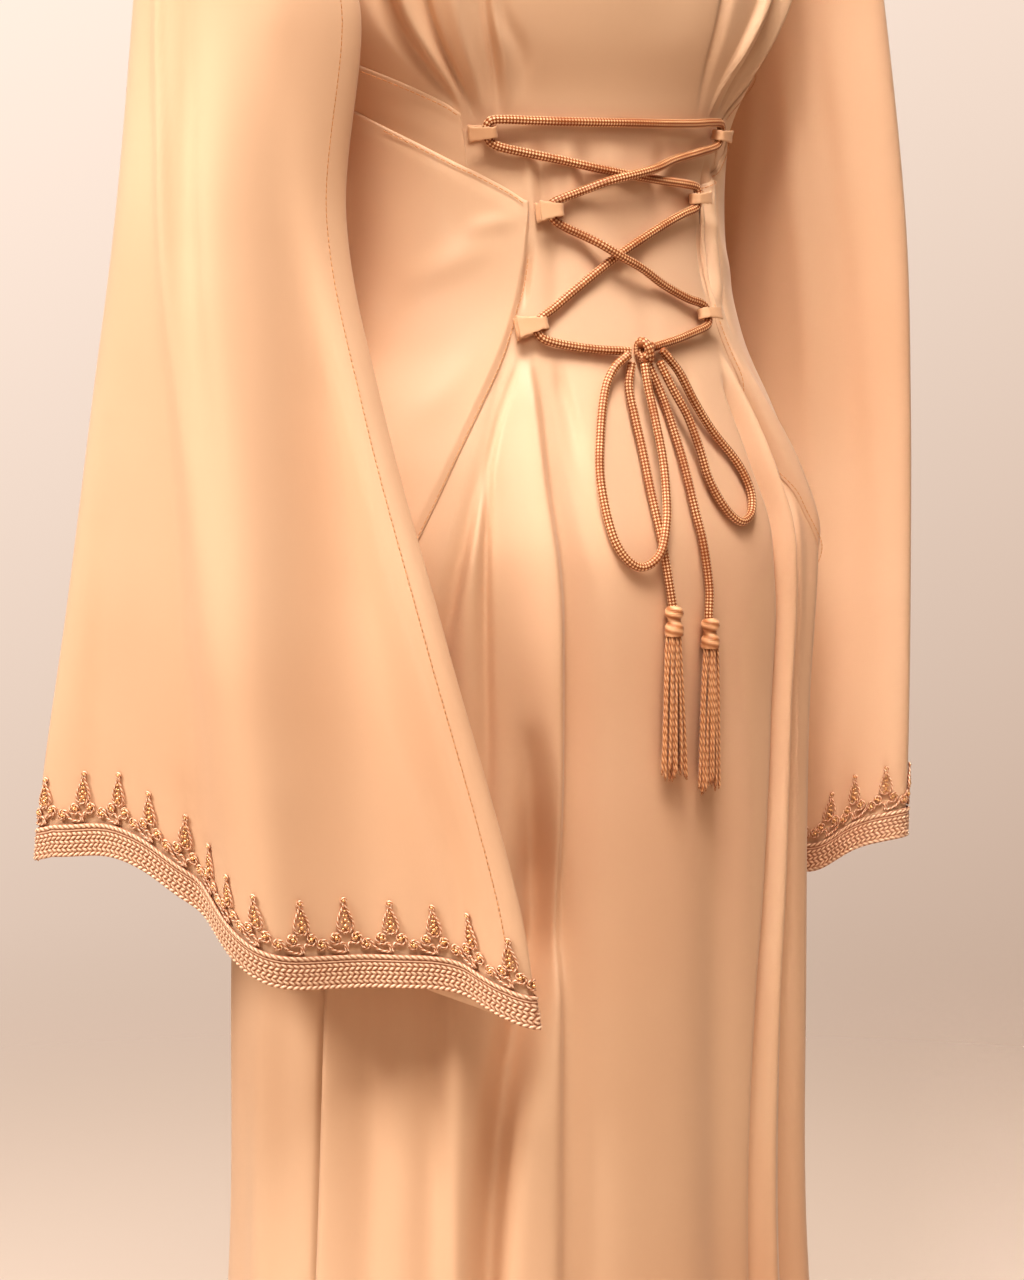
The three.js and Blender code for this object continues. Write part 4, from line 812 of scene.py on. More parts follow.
# --------------------------------------------------------------------------------- sleeves
# Wide bells of the same satin, each one flat piece with a single seam under the arm, sewn
# into the oval armhole and hanging from it in a flattened tube.
# Share of the length, end under the arm (x, y, z), outer edge (x, y, z), direction in
# which the back layer bulges, and the bulge of the back and of the front layer.
SLEEVE = {
    "left": np.array([
        (0.00, 195.6, 0, -222, 192.6, 0, -44, 90, 70, 70),
        (0.08, 203, 18, -246, 216, -6, -72, 74, 60, 56),
        (0.18, 193, 58, -280, 234, -16, -170, 54, 48, 30),
        (0.30, 164, 83, -311, 242, -22, -309, 39, 42, 22),
        (0.45, 170, 78, -427, 250, -31, -427, 36, 40, 22),
        (0.60, 161, 100, -530, 260, -44, -530, 34.5, 34, 16),
        (0.78, 143, 137, -660, 271, -60, -650, 33, 26, 11),
        (0.92, 116, 166, -800, 281, -73, -745, 34.5, 20, 6),
        (1.00, 109, 175, -870, 284, -77, -796, 35, 16, 5),
    ], float),
    "right": np.array([
        (0.00, -195.6, 0, -222, -192.6, 0, -44, 90, 70, 70),
        (0.08, -203, -12, -248, -218, 6, -72, 84, 58, 60),
        (0.18, -197, -36, -284, -244, 14, -160, 66, 44, 52),
        (0.30, -182, -66, -320, -262, 24, -294, 48, 26, 44),
        (0.45, -180, -95, -430, -284, 22, -430, 42, 26, 44),
        (0.60, -176, -122, -540, -290, 22, -540, 38, 26, 42),
        (0.78, -166, -152, -670, -292, 22, -655, 35, 28, 42),
        (0.92, -156, -182, -800, -292, 22, -765, 33, 30, 42),
        (1.00, -152, -196, -872, -290, 22, -826, 32.5, 30, 42),
    ], float),
}
# Folds of a sleeve: layer (1 back, -1 front), place across the ring from under the arm to
# the outer edge, width, rise at the cuff, rise of the hem there, and share where it starts.
SLEEVE_FOLDS = {
    "left": [(1, 0.16, 0.09, -13, 5, 0.45), (1, 0.46, 0.14, 26, -12, 0.20),
             (1, 0.80, 0.16, -4, 20, 0.30), (1, 0.63, 0.05, -5, 2, 0.40),
             (-1, 0.36, 0.12, -6, 4, 0.5), (-1, 0.84, 0.15, 2, 24, 0.3),
             (-1, 0.70, 0.11, 9, -5, 0.4)],
    "right": [(1, 0.78, 0.09, -9, -14, 0.3), (1, 0.45, 0.13, 8, 4, 0.3),
              (1, 0.62, 0.05, 4, 1, 0.4), (-1, 0.30, 0.11, 12, 6, 0.4),
              (-1, 0.66, 0.12, -10, -8, 0.4)],
}


# Creases of the back layer: shares of the length, places across the ring, widths, depths.
SLEEVE_CREASES = {
    "left": [
        ((0.15, 0.318, 0.453, 0.593, 0.75, 0.875, 1),
         (0.34, 0.259, 0.175, 0.185, 0.239, 0.294, 0.33),
         (0.10, 0.10, 0.095, 0.09, 0.09, 0.09, 0.09), (0, 2, -4, -13, -15, -12, -8)),
        ((0.2, 0.315, 0.403, 0.515, 0.65, 0.85), (0.84, 0.788, 0.71, 0.64, 0.57, 0.50),
         (0.03, 0.03, 0.032, 0.04, 0.05, 0.06), (0, 3.6, 4.2, 3.6, 2, 0)),
        ((0.25, 0.36, 0.47, 0.62, 0.80), (0.70, 0.62, 0.55, 0.50, 0.47),
         (0.05, 0.05, 0.06, 0.07, 0.08), (0, -4, -5.5, -4, 0)),
        ((0.60, 0.72, 0.86, 1), (0.90, 0.88, 0.87, 0.86),
         (0.04, 0.05, 0.05, 0.05), (0, -2.4, -3.4, -3)),
        ((0.84, 0.90, 0.95, 1), (0.12, 0.12, 0.13, 0.13),
         (0.03, 0.03, 0.03, 0.03), (0, -1.5, -2, -1.4)),
        ((0.86, 0.91, 0.95, 1), (0.40, 0.39, 0.39, 0.38),
         (0.03, 0.03, 0.03, 0.03), (0, -1.8, -2, -1)),
        ((0.88, 0.92, 0.96, 1), (0.66, 0.65, 0.64, 0.64),
         (0.03, 0.03, 0.03, 0.03), (0, -1.4, -1.6, -1)),
    ],
    "right": [
        ((0.28, 0.40, 0.52, 0.62, 0.74), (0.41, 0.42, 0.42, 0.42, 0.42),
         (0.05, 0.06, 0.06, 0.06, 0.06), (0, -3, -5, -3, 0)),
        ((0.25, 0.36, 0.51, 0.70, 0.9), (0.62, 0.68, 0.76, 0.84, 0.88),
         (0.05, 0.05, 0.06, 0.06, 0.06), (0, -3, -4, -3.4, -2)),
        ((0.30, 0.42, 0.56, 0.75, 1), (0.50, 0.56, 0.66, 0.74, 0.80),
         (0.05, 0.05, 0.05, 0.05, 0.05), (0, 3, 4, 3, 2)),
        ((0.84, 0.90, 0.95, 1), (0.83, 0.83, 0.83, 0.83),
         (0.03, 0.03, 0.03, 0.03), (0, -1.6, -2, -1)),
    ],
}


def sleeve_point(word, around, t):
    """Across the flattened ring from under the arm to the outer edge and back again, then
    out by the layer's bulge and by its folds, which grow towards the cuff."""
    around, t = np.broadcast_arrays(around, t)
    rows = SLEEVE[word]
    value = [through(rows[:, 0], rows[:, k], t) for k in range(1, rows.shape[1])]
    under, outer = np.stack(value[:3], -1), np.stack(value[3:6], -1)
    turn, behind, ahead = np.radians(value[6]), value[7], value[8]
    across = (1 - np.cos(2 * np.pi * around)) / 2
    bow = np.sin(2 * np.pi * around)
    layer = np.where(bow >= 0, 1, -1)
    clear = np.minimum(1, 2.5 * np.abs(bow))
    out = bow * np.where(layer > 0, behind, ahead)
    lift = np.zeros(around.shape)
    for side, at, width, rise, hem, start in SLEEVE_FOLDS[word]:
        grown = ease((t - start) / (1 - start)) * np.exp(-((across - at) / width) ** 2)
        grown = np.where(layer == side, grown * clear, 0)
        out = out + layer * rise * grown
        lift = lift + hem * grown * t
    for shares, at, width, depth in SLEEVE_CREASES[word]:
        off = (across - through(shares, at, t)) / np.interp(t, shares, width)
        inside = ease((t - shares[0]) / 0.03) * np.where(layer > 0, clear, 0)
        out = out + inside * np.interp(t, shares, depth) * np.exp(-off ** 2)
    push = np.stack([np.cos(turn) * out, np.sin(turn) * out, lift], -1)
    return under + (outer - under) * across[..., None] + push


def off_sleeve(word, around, t, lift):
    """Point that stands a lift off the sleeve, on its outside."""
    around, t = np.broadcast_arrays(np.asarray(around, float), np.asarray(t, float))
    round_it = sleeve_point(word, around + 0.002, t) - sleeve_point(word, around - 0.002, t)
    down = sleeve_point(word, around, t + 0.004) - sleeve_point(word, around, t - 0.004)
    side = 1.0 if word == "left" else -1.0
    out = unit(np.cross(round_it, down)) * side
    return sleeve_point(word, around, t) + out * np.asarray(lift, float)[..., None]


# Rows of a sleeve: share of the length, and how close together they lie.
SLEEVE_ROWS = [(0, 1.3), (0.2, 1), (0.8, 1), (1, 1.6)]
SLEEVE_COLUMNS = 160
SLEEVE_WIDE, SLEEVE_LONG = 0.62, 0.80   # m of cloth round and down, for the weave

for word in ("left", "right"):
    t = dense(SLEEVE_ROWS, 104)
    around = (np.arange(SLEEVE_COLUMNS) + 0.5) / SLEEVE_COLUMNS
    grid = sleeve_point(word, around[None, :], t[:, None])
    u, v = np.meshgrid(np.append(around, around[0] + 1) * SLEEVE_WIDE, -t * SLEEVE_LONG)
    inside = np.broadcast_to(grid.mean(1, keepdims=True), grid.shape)
    piece = sheet_of("sleeve_" + word + "_satin", grid, np.stack([u, v], -1), inside, ring=True)
    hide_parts("sleeve_" + word)
    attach(piece, "root")


# ------------------------------------------------------------------------------ cloth loops
# Straps of the same satin, folded lengthwise, bent round the cord and sewn under the edge. Their satin
# is drawn a shade darker than the cloth's: painted shade that tones down the loops, which face the
# lamps.
shaded_loop_satin = satin_cloth("folded satin strap", "#DDB593", "#CC9A76", 0.42)
# Root and tip angle, height, slant of the tip in mm, and width at the root and tip.
LOOPS = {
    "lace_loop_left_1": (41.2, 33.8, -381.0, 1.0, 8.6, 6.6),
    "lace_loop_left_2": (25.4, 18.0, -425.0, 0.6, 11.5, 7.6),
    "lace_loop_left_3": (31.0, 23.4, -491.0, 2.6, 13.0, 7.0),
    "lace_loop_right_1": (-41.2, -34.2, -380.2, 0.4, 7.4, 6.0),
    "lace_loop_right_2": (-30.4, -23.4, -417.0, -0.8, 7.4, 6.0),
    "lace_loop_right_3": (-29.0, -21.9, -485.6, 1.2, 7.4, 6.0),
}
LOOP_HIGH, LOOP_LIFT, STRAP = 9.2, 0.9, 1.2     # outside height, clearance and thickness
STRAP_RUN, STRAP_TIP, STRAP_SIDES = 14, 22, 20  # points along a run, round the tip, round it
STRAP_CUT = 0.016       # m of cloth round a strap, for the weave


def strap(name, root, tip, z, slant, wide, narrow):
    """A flat band carried out from the edge, round a half circle at the tip and back under.
    Its section is a flattened oval, a little fuller along both edges than in the middle."""
    a = off_body(root, z, LOOP_LIFT + LOOP_HIGH / 2)
    b = off_body(tip, z + slant, LOOP_LIFT + LOOP_HIGH / 2)
    along = unit(b - a)
    reach = float(np.linalg.norm(b - a)) - LOOP_HIGH / 2
    out = unit(off_body((root + tip) / 2, z, 5.0) - off_body((root + tip) / 2, z, 1.0))
    across = unit(np.cross(along, out))
    out = np.cross(across, along)
    out = out * np.sign(np.dot(out, off_body(tip, z, 5.0) - off_body(tip, z, 1.0)))
    r = LOOP_HIGH / 2 - STRAP / 2
    arc = np.linspace(np.pi / 2, -np.pi / 2, STRAP_TIP)
    x = np.concatenate([np.linspace(0, reach, STRAP_RUN)[:-1], reach + r * np.cos(arc),
                        np.linspace(reach, 0, STRAP_RUN)[1:]])
    y = np.concatenate([np.full(STRAP_RUN - 1, r), r * np.sin(arc), np.full(STRAP_RUN - 1, -r)])
    y = y + 0.5 * np.sin(np.pi * np.clip(x / reach, 0, 1)) * np.where(y > 0, 1, 0)
    line = a + x[:, None] * along + y[:, None] * out
    tangent = np.stack([np.gradient(x), np.gradient(y)], -1)
    tangent = tangent / np.linalg.norm(tangent, axis=1, keepdims=True)
    normal = tangent[:, 1, None] * along - tangent[:, 0, None] * out
    half = (wide + (narrow - wide) * np.clip(x / reach, 0, 1)) / 2 * (1 + 0.05 * np.sin(x * 1.3))
    turn = 2 * np.pi * np.arange(STRAP_SIDES) / STRAP_SIDES
    flat = np.sign(np.cos(turn)) * np.abs(np.cos(turn)) ** 0.45
    thick = np.sign(np.sin(turn)) * np.abs(np.sin(turn)) ** 0.8
    puff = 1 + 0.35 * np.abs(flat) ** 6 - 0.5 * np.exp(-(flat / 0.35) ** 2)
    ring = (line[:, None] + across * (half[:, None] * flat)[..., None]
            + normal[:, None] * (STRAP / 2 * thick * puff)[None, :, None])
    rows = len(line)
    cells, flat_cells = quads(rows, STRAP_SIDES, True)
    u, v = np.meshgrid(np.arange(STRAP_SIDES + 1) / STRAP_SIDES * STRAP_CUT,
                       np.arange(rows) * 0.0008)
    end = np.arange(STRAP_SIDES)[None]
    caps = [end[:, ::-1], (rows - 1) * STRAP_SIDES + end]
    verts = ring.reshape(-1, 3)
    corner = verts[cells]
    middle = line[cells[:, 0] // STRAP_SIDES]
    facing = np.cross(corner[:, 1] - corner[:, 0], corner[:, 3] - corner[:, 0])
    if (facing * (corner[:, 0] - middle)).sum() < 0:
        cells, flat_cells = cells[:, ::-1], flat_cells[:, ::-1]
        caps = [c[:, ::-1] for c in caps]
    uv = np.stack([u, v], -1).reshape(-1, 2)
    blank = np.zeros((STRAP_SIDES, 2))
    piece = put(name + "_satin", verts, [cells] + caps,
                [uv[flat_cells.ravel()], blank, blank], shaded_loop_satin)
    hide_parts(name)
    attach(piece, "root")


for name, values in LOOPS.items():
    strap(name, *values)


# --------------------------------------------------------------------- braid of the cuffs
# A flat plaited braid, 19 mm tall, sewn round the hem: a twisted rope along each edge, a
# thin cord inside the upper one, and rows of plait between them.
BRAID_HIGH = 19.0
TWIST_PITCH = 3.4       # mm along an edge rope from one ply to the next
PLAIT_PITCH = 3.2       # mm along a row from one stitch of the plait to the next
PLAIT_LEAN = 0.34       # share of a stitch by which it leans from the middle of its row
PLAIT_ROWS, FIRST_ROW, ROW_STEP, ROW_HALF = 5, 3.9, 2.35, 1.22
# Height up the braid, half width, and the way in which the plies of each edge rope turn.
ROPES = ((1.3, 1.3, 1.0), (17.6, 1.4, -1.0))
CORD_MIDDLE, CORD_HALF = 15.3, 0.55


class Cuff:
    """The hem of one sleeve, measured along its edge and up its cloth."""
    NEAR_HEM = 0.95     # share of the length down to a ring just above the hem

    def __init__(self, word):
        self.word = word
        self.around = np.linspace(0, 1, 1601)
        hem = sleeve_point(word, self.around, 1.0)
        self.run = np.concatenate([[0], np.cumsum(np.linalg.norm(np.diff(hem, axis=0), axis=1))])
        self.round = float(self.run[-1])

    def at(self, s, h, lift):
        """Point s mm along the hem, h mm up the cloth from it, standing a lift off it."""
        s, h, lift = np.broadcast_arrays(s, h, lift)
        around = np.interp(np.mod(s, self.round), self.run, self.around)
        low = sleeve_point(self.word, around, 1.0)
        high = sleeve_point(self.word, around, self.NEAR_HEM)
        slope = np.linalg.norm(high - low, axis=-1) / (1 - self.NEAR_HEM)
        return off_sleeve(self.word, around, 1 - h / slope, lift)


CUFFS = {word: Cuff(word) for word in ("left", "right")}


def dome(h, middle, half):
    """Section of a round cord that lies along the braid: half a circle, 1 high."""
    return np.sqrt(np.clip(1 - ((h - middle) / half) ** 2, 0, 1))


def braid_relief(s, h):
    """Height of the braid over its ground, s mm along it and h mm up: domes of the two ropes
    and the cord, and plaited rows between them whose stitches are waves, |sin|, that lean the
    other way in every second row."""
    out = np.full(np.broadcast(s, h).shape, 0.25)
    for middle, half, lean in ROPES:
        off = (h - middle) / half
        ply = 0.66 + 0.34 * np.sin(2 * np.pi * (s / TWIST_PITCH + lean * off * 0.5))
        out = np.maximum(out, 1.45 * dome(h, middle, half) * ply)
    out = np.maximum(out, 0.85 * dome(h, CORD_MIDDLE, CORD_HALF))
    for row in range(PLAIT_ROWS):
        middle = FIRST_ROW + ROW_STEP * row
        off = (h - middle) / ROW_HALF
        lean = PLAIT_LEAN if row % 2 else -PLAIT_LEAN
        stitch = np.abs(np.sin(np.pi * (s / PLAIT_PITCH + lean * off + 0.25 * row)))
        out = np.maximum(out, dome(h, middle, ROW_HALF) * (0.10 + 1.15 * stitch))
    return out


# Flat silk braid whose colour follows its relief, with painted light: the hollows between stitches are
# painted copper shade, the raised threads painted cream highlight that shines in short dashes, with a
# random mottle over both.
braid_silk, tree = material("plaited silk braid")
uv = add(tree, "UVMap")
apart = add(tree, "SeparateXYZ", n0=uv.outputs[0])
height = add(tree, "Attribute", {"attribute_name": "relief"})
strand_u = add(tree, "Math", {"operation": "MULTIPLY"}, n0=apart.outputs[0],
               n1=2 * math.pi / (0.001 * PLAIT_PITCH / 4))
strand = add(tree, "Math", {"operation": "SINE"}, n0=strand_u.outputs[0])
mottle = add(tree, "TexNoise", Vector=uv.outputs[0], Scale=420.0, Detail=2.0)
# Painted light: the higher the relief, the lighter the colour.
level = add(tree, "MapRange", Value=height.outputs["Fac"], From_Min=0.35, From_Max=1.05)
relief_light_and_mottle = add(tree, "Math", {"operation": "MULTIPLY_ADD"}, n0=mottle.outputs[0], n1=0.5,
            n2=level.outputs[0])
tone = add(tree, "MapRange", Value=relief_light_and_mottle.outputs[0], From_Min=0.2, From_Max=1.15)
tint = add(tree, "Mix", {"data_type": "RGBA"}, Factor=tone.outputs[0],
           A=linear("#AA6E4E"), B=linear("#F3D0B2"))
bump = add(tree, "Bump", Strength=0.25, Distance=0.0002, Height=strand.outputs[0])
surface = add(tree, "BsdfPrincipled", Base_Color=tint.outputs[2], Roughness=0.45,
              Normal=bump.outputs[0], Sheen_Weight=0.25, Sheen_Roughness=0.4)
finish(tree, surface)

BRAID_LIFT = 1.2        # of its ground over the sleeve
BRAID_STEP, BRAID_ROWS = 0.68, 40       # mm between columns, and rows up its face


def cuff_braid(word, cuff):
    """Closed band round a cuff: the relief in front, and a flat back of three rows."""
    columns = int(round(cuff.round / BRAID_STEP))
    s = np.arange(columns) * cuff.round / columns
    h = np.linspace(0.0, BRAID_HIGH, BRAID_ROWS)
    back = np.array([BRAID_HIGH, BRAID_HIGH / 2, 0.0])
    relief = braid_relief(s[None, :], h[:, None])
    front = cuff.at(s[None, :], h[:, None], BRAID_LIFT + relief)
    behind = cuff.at(s[None, :], back[:, None], BRAID_LIFT)
    verts = np.concatenate([front, behind]).reshape(-1, 3)
    rows = BRAID_ROWS + len(back)
    cells, flat = quads(rows + 1, columns, True)
    cells = np.where(cells >= rows * columns, cells - rows * columns, cells)
    across = np.concatenate([h, back, [0.0]])
    u, v = np.meshgrid(np.append(s, cuff.round) * 0.001, across * 0.001)
    uv = np.stack([u, v], -1).reshape(-1, 2)
    corner = verts[cells[:columns * BRAID_ROWS // 2]]
    facing = np.cross(corner[:, 1] - corner[:, 0], corner[:, 3] - corner[:, 0])
    if (facing * (corner[:, 0] - verts.mean(0))).sum() < 0:
        cells, flat = cells[:, ::-1], flat[:, ::-1]
    piece = put("cuff_braid_" + word + "_silk", verts, [cells], [uv[flat.ravel()]], braid_silk)
    layer = piece.data.attributes.new("relief", "FLOAT", "POINT")
    level = np.concatenate([relief.ravel(), np.zeros(len(back) * columns)])
    layer.data.foreach_set("value", level.astype(np.float32))
    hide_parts("cuff_braid_" + word)
    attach(piece, "root")


for word, cuff in CUFFS.items():
    cuff_braid(word, cuff)


# ------------------------------------------------------------------- corded trefoils above
# Fine two-ply silk cord, couched by hand in outlines: a bud with a ring at its tip, a
# scroll at each side, curling stems, and a small scroll between every two. A glass bead is
# sewn into each scroll.
def arc_row(cx, cy, radius, start, stop, n, shrink=1.0):
    """Spiral about a centre: rows of (along, up) whose radius shrinks on the way."""
    a = np.radians(np.linspace(start, stop, n))
    r = radius * np.linspace(1, shrink, n)
    return np.stack([cx + r * np.cos(a), cy + r * np.sin(a)], -1)


def motif_rows():
    """Cords of one trefoil, as rows of (mm along the hem, mm above the braid), and its beads
    as (along, up, radius)."""
    bud = np.array([(0.0, 11.2), (2.3, 11.8), (3.9, 14.0), (4.0, 16.9), (2.9, 20.4), (1.2, 23.8),
                    (0.3, 26.4)])
    outline = np.concatenate([bud, (bud * (-1, 1))[::-1]])
    cords = [outline, arc_row(0, 28.0, 1.35, -90, 260, 12)]
    beads = [(0.0, 28.0, 0.9), (0.0, 15.0, 1.2), (0.0, 18.0, 1.0), (1.4, 13.2, 0.7),
             (-1.4, 13.2, 0.7), (1.8, 16.8, 0.7), (-1.8, 16.8, 0.7), (0.7, 20.3, 0.7),
             (-0.7, 20.3, 0.7), (0.0, 22.8, 0.7)]
    for side in (-1, 1):
        stem = np.array([(0.7, 0.8), (0.6, 3.0), (1.0, 5.0), (2.6, 6.1)])
        scroll = arc_row(5.2, 8.6, 3.6, 225, 225 + 430, 22, 0.42)
        cords.append(np.concatenate([stem, scroll[1:]]) * (side, 1))
        beads += [(side * 5.2, 8.6, 1.2), (side * 6.9, 9.4, 0.6), (side * 4.8, 10.4, 0.6),
                  (side * 3.8, 7.8, 0.6)]
    sweep = np.array([(0.9, 0.9), (4.0, 1.2), (7.2, 2.3), (9.4, 4.2)])
    curl = arc_row(13.2, 4.9, 3.4, 160, 160 - 430, 20, 0.42)
    cords.append(np.concatenate([sweep, curl[1:]]))
    beads += [(13.2, 4.9, 1.1), (14.9, 5.5, 0.55), (13.2, 6.8, 0.55), (11.6, 4.5, 0.55)]
    return cords, beads


MOTIFS = 27
FOOT = 19.6             # mm up from the hem at which the trefoils start
COUCH_PITCH, COUCH_RADIUS = 0.0030, 0.80
COUCH_LIFT, BEAD_LIFT = 1.3, 1.7
# Couched cord with painted shade in the ply grooves and painted highlight on the ply backs.
cord_silk = painted_ply_silk("couched two-ply silk cord", COUCH_PITCH, -0.8, "#B57650", "#F4D3B8", 0.25)

# Drawn glass seed bead with a silvered hole: a warm glint from within a clear surface.
bead_glass, tree = material("amber glass bead, silver lined")
surface = add(tree, "BsdfPrincipled", Base_Color=linear("#EDBF8C"), Roughness=0.2,
              Metallic=0.35, Coat_Weight=0.5, Coat_Roughness=0.08)
finish(tree, surface)
BEAD_RINGS, BEAD_SIDES = 4, 7


def sewn_beads(name, places, sizes):
    """A small ball at each place: rings of latitude, closed by a fan at both poles."""
    a = np.linspace(0, np.pi, BEAD_RINGS + 2)[1:-1, None]
    b = np.arange(BEAD_SIDES) * 2 * np.pi / BEAD_SIDES
    ball = np.stack([np.sin(a) * np.cos(b), np.sin(a) * np.sin(b), np.cos(a) + 0 * b], -1)
    ball = np.concatenate([ball.reshape(-1, 3), [(0, 0, 1), (0, 0, -1)]])
    cells, _ = quads(BEAD_RINGS, BEAD_SIDES, True)
    pole, last = BEAD_RINGS * BEAD_SIDES, (BEAD_RINGS - 1) * BEAD_SIDES
    turn = np.arange(BEAD_SIDES)
    after = (turn + 1) % BEAD_SIDES
    top = np.stack([np.full(BEAD_SIDES, pole), turn, after], -1)
    low = np.stack([np.full(BEAD_SIDES, pole + 1), last + after, last + turn], -1)
    verts = (np.array(places)[:, None] + ball * np.array(sizes)[:, None, None]).reshape(-1, 3)
    shift = (np.arange(len(places)) * len(ball))[:, None, None]
    fours = (shift + cells[None, :, ::-1]).reshape(-1, 4)
    threes = (shift + np.concatenate([top, low])[None]).reshape(-1, 3)
    return put(name, verts, [fours, threes],
               [np.zeros((fours.size, 2)), np.zeros((threes.size, 2))], bead_glass)


def embroidery(word, cuff):
    """The trefoils of one cuff, evenly spaced, each a little different in size and lean."""
    rng = np.random.default_rng(27)
    cords, beads = motif_rows()
    paths, places, sizes = [], [], []
    for k in range(MOTIFS):
        centre = cuff.round * (k + 0.5) / MOTIFS
        grow = rng.uniform(0.94, 1.06, 2)
        lean = rng.uniform(-0.06, 0.06)
        for rows in cords:
            line = curve(rows, 0.9)
            s = centre + (line[:, 0] + lean * line[:, 1]) * grow[0]
            paths.append(cuff.at(s, FOOT + line[:, 1] * grow[1], COUCH_LIFT))
        for x, y, radius in beads:
            places.append(cuff.at(centre + (x + lean * y) * grow[0], FOOT + y * grow[1],
                                  BEAD_LIFT))
            sizes.append(radius)
    piece = tubes("cuff_embroidery_" + word + "_silk",
                  [(paths, two_ply(COUCH_RADIUS, COUCH_PITCH), 6, 0.3)], cord_silk)
    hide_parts("cuff_embroidery_" + word)
    for part in (piece, sewn_beads("cuff_beads_" + word, places, sizes)):
        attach(part, "root")


for word, cuff in CUFFS.items():
    embroidery(word, cuff)


# ------------------------------------------------------------------------------- stitching
# Mercerised cotton a shade darker than the cloth, about eight stitches in 25 mm: beside the
# seam under each arm, and along the edges of the waist pieces.
thread_silk, tree = material("mercerised sewing thread")
surface = add(tree, "BsdfPrincipled", Base_Color=linear("#D59A6A"), Roughness=0.5)
finish(tree, surface)
STITCH, GAP = 2.4, 0.9
THREAD_RADIUS = 0.24
STITCH_LIFT = 0.95      # over the lifts of a hip panel


def thread(share, run):
    """Radius of the thread: the same everywhere."""
    return THREAD_RADIUS + 0 * share * run


def stitches(name, lines):
    """Short thread tubes in a row along each line of points."""
    dashes = []
    for line in lines:
        run = np.concatenate([[0], np.cumsum(np.linalg.norm(np.diff(line, axis=0), axis=1))])
        starts = np.arange(0, run[-1] - STITCH, STITCH + GAP)
        at = starts[:, None] + np.array([0, 0.5, 1]) * STITCH
        points = np.stack([np.interp(at, run, line[:, k]) for k in range(3)], -1)
        dashes += list(points)
    piece = tubes(name, [(dashes, thread, 4, 0.1)], thread_silk)
    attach(piece, "root")


SEAM_SIDES = (0.062, 0.938)     # places round a sleeve, on both sides of its seam
down = np.linspace(0.06, 0.972, 300)
stitches("sleeve_stitching", [off_sleeve(word, at, down, 0.1)
                              for word in ("left", "right") for at in SEAM_SIDES])


def edge_line(table, column, mirror, angle, inset):
    """Line on a laid piece, an inset above its upper or lower edge."""
    z = through(table[:, 0], table[:, column], angle) + inset
    return off_body(mirror * angle, z, laid_lift(angle, z, HIP_LIFT) + STITCH_LIFT)


UPPER, LOWER = 1, 2     # columns of the tables of edges
waist_lines = []
for mirror, hip in ((1, HIP_LEFT), (-1, HIP_RIGHT)):
    hip_edge = np.linspace(hip[0, 0] + 1.4, 66, 160)
    band_edge = np.linspace(BAND[0, 0] + 1, 80, 100)
    waist_lines += [edge_line(hip, UPPER, mirror, hip_edge, -2.2),
                    edge_line(hip, LOWER, mirror, hip_edge, 2.2),
                    edge_line(BAND, UPPER, mirror, band_edge, -2.0)]
stitches("waist_stitching", waist_lines)


# ---------------------------------------------------------------- studio floor and light
# A pale paper floor that fades into a surround with painted shade, darker towards the lower right. The
# main lamps stand at the camera's left and overhead; a narrow one grazes the right arm, and weak ones
# fill in from the right and from the front of the garment.
# Uncoated paper on a roll: no highlight, only the soft shadow of the hem. It turns clear far
# out, so that its edge is not seen.
floor_paper, tree = material("pale matt studio paper")
place = add(tree, "TexCoord")
apart = add(tree, "VectorMath", {"operation": "LENGTH"}, n0=place.outputs["Object"])
fade = add(tree, "MapRange", {"interpolation_type": "SMOOTHSTEP"}, Value=apart.outputs["Value"],
           From_Min=1.3, From_Max=3.4)
paper = add(tree, "BsdfPrincipled", Base_Color=linear("#F3E2D4"), Roughness=0.9,
            Specular_IOR_Level=0.1)
clear = add(tree, "BsdfTransparent")
faded = add(tree, "MixShader", n0=fade.outputs[0], n1=paper.outputs[0], n2=clear.outputs[0])
finish(tree, faded)
FLOOR_SIDES = 64
FLOOR_DROP = 3.0        # mm from the hem down to the paper
rings = np.array([1.0, 600.0, 1200.0, 2000.0, 3500.0])[:, None]
a = np.arange(FLOOR_SIDES) * 2 * np.pi / FLOOR_SIDES
grid = np.stack([rings * np.cos(a), rings * np.sin(a), 0 * rings * a + HEM_Z - FLOOR_DROP], -1)
cells, _ = quads(len(rings), FLOOR_SIDES, True)
floor = put("studio_floor", grid.reshape(-1, 3), [cells], [np.zeros((cells.size, 2))],
            floor_paper)


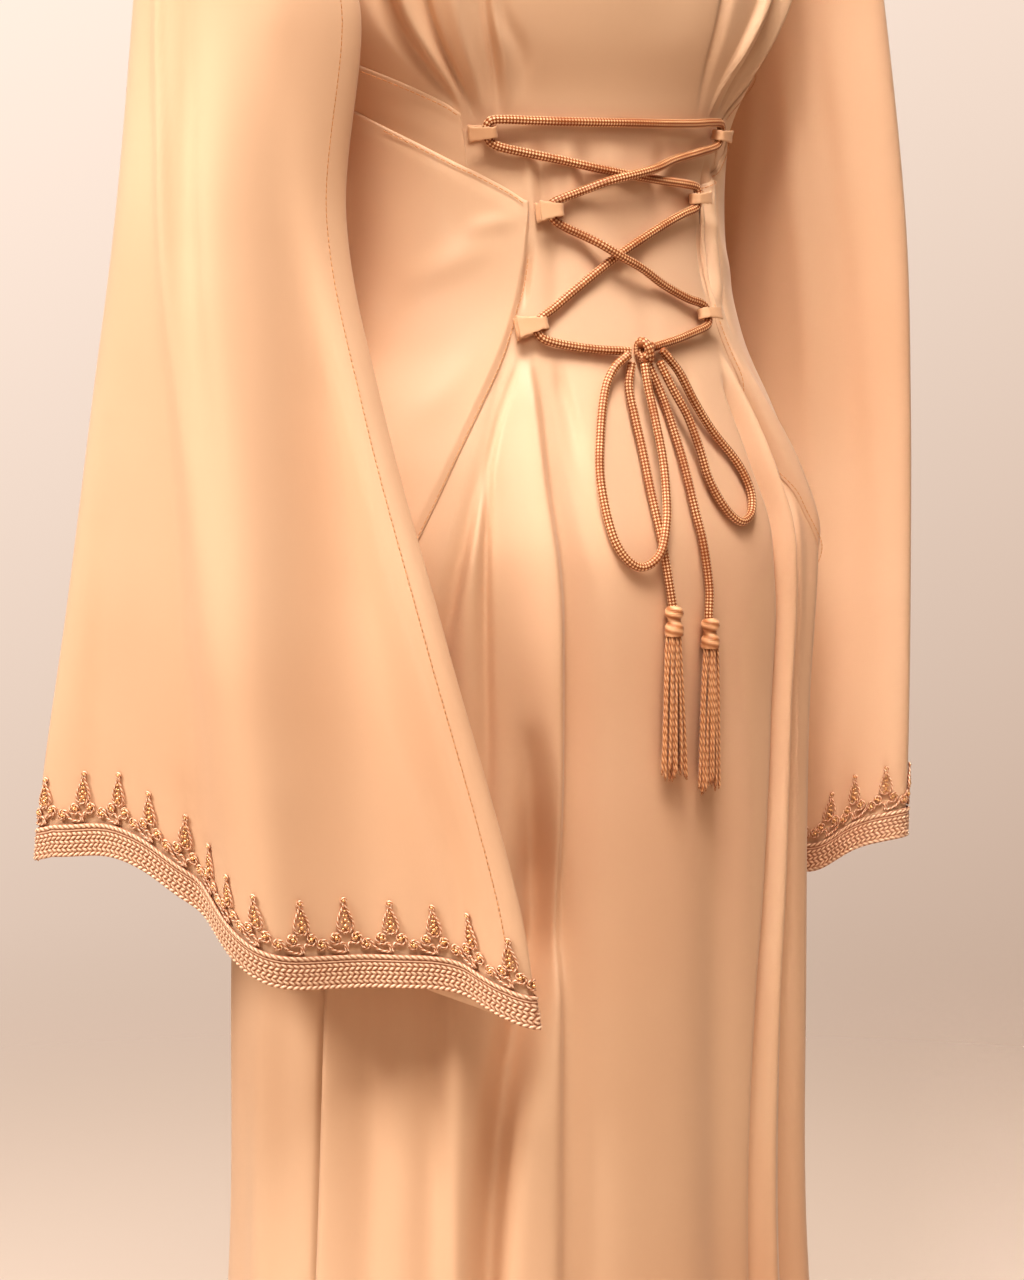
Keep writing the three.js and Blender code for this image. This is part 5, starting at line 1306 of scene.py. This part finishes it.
def softbox(name, turn, tilt, distance, size, watts, aim=(0, 0, -0.7), spread=180):
    """Rectangular light that looks at a point. Its direction is turned round the upright from
    the camera's own and tilted up from level, both in degrees."""
    data = bpy.data.lights.new(name, "AREA")
    data.shape = "RECTANGLE"
    data.size, data.size_y = size
    data.energy = watts
    data.color = linear("#FFFDFA")[:3]
    data.spread = math.radians(spread)
    lamp = bpy.data.objects.new(name, data)
    a, e = CAMERA_TURN + math.radians(turn), math.radians(tilt)
    way = Vector((math.sin(a) * math.cos(e), -math.cos(a) * math.cos(e), math.sin(e)))
    lamp.location = Vector(aim) + way * distance
    lamp.rotation_euler = (-way).to_track_quat("-Z", "Y").to_euler()
    lamp.visible_camera = False
    bpy.context.collection.objects.link(lamp)


softbox("key", -66, 40, 2.8, (0.8, 0.8), 52)
softbox("over", 2, 62, 2.7, (1.0, 0.9), 62)
softbox("right_arm", -10, 30, 2.4, (0.3, 0.8), 0.26, aim=(-0.34, 0, -0.50), spread=14)
softbox("right", 52, 36, 2.9, (1.2, 1.6), 3)
softbox("front", 180, 30, 3.2, (2.0, 2.0), 8)

# The wall that the camera sees carries painted shade, darker towards the lower right; what lights the
# cloth is an even warm glow.
SHADE_WAY = (-0.30, 0.21, -0.90)
world = bpy.data.worlds.new("studio")
world.use_nodes = True
bpy.context.scene.world = world
tree = world.node_tree
tree.nodes.clear()
way = add(tree, "TexCoord")
shade_way = add(tree, "VectorMath", {"operation": "DOT_PRODUCT"}, n0=way.outputs["Generated"],
                n1=SHADE_WAY)
painted_wall_shade = add(tree, "MapRange", Value=shade_way.outputs["Value"], From_Min=-0.15, From_Max=0.42)
wall = add(tree, "Mix", {"data_type": "RGBA"}, Factor=painted_wall_shade.outputs[0],
           A=linear("#F1E1D5"), B=linear("#A08674"))
seen = add(tree, "Background", Color=wall.outputs[2], Strength=0.88)
felt = add(tree, "Background", Color=linear("#FFE0C6"), Strength=0.20)
path = add(tree, "LightPath")
either = add(tree, "MixShader", n0=path.outputs["Is Camera Ray"], n1=felt.outputs[0],
             n2=seen.outputs[0])
add(tree, "OutputWorld", Surface=either.outputs[0])
bpy.context.scene.view_settings.view_transform = "Standard"
bpy.context.scene.view_settings.look = "High Contrast"
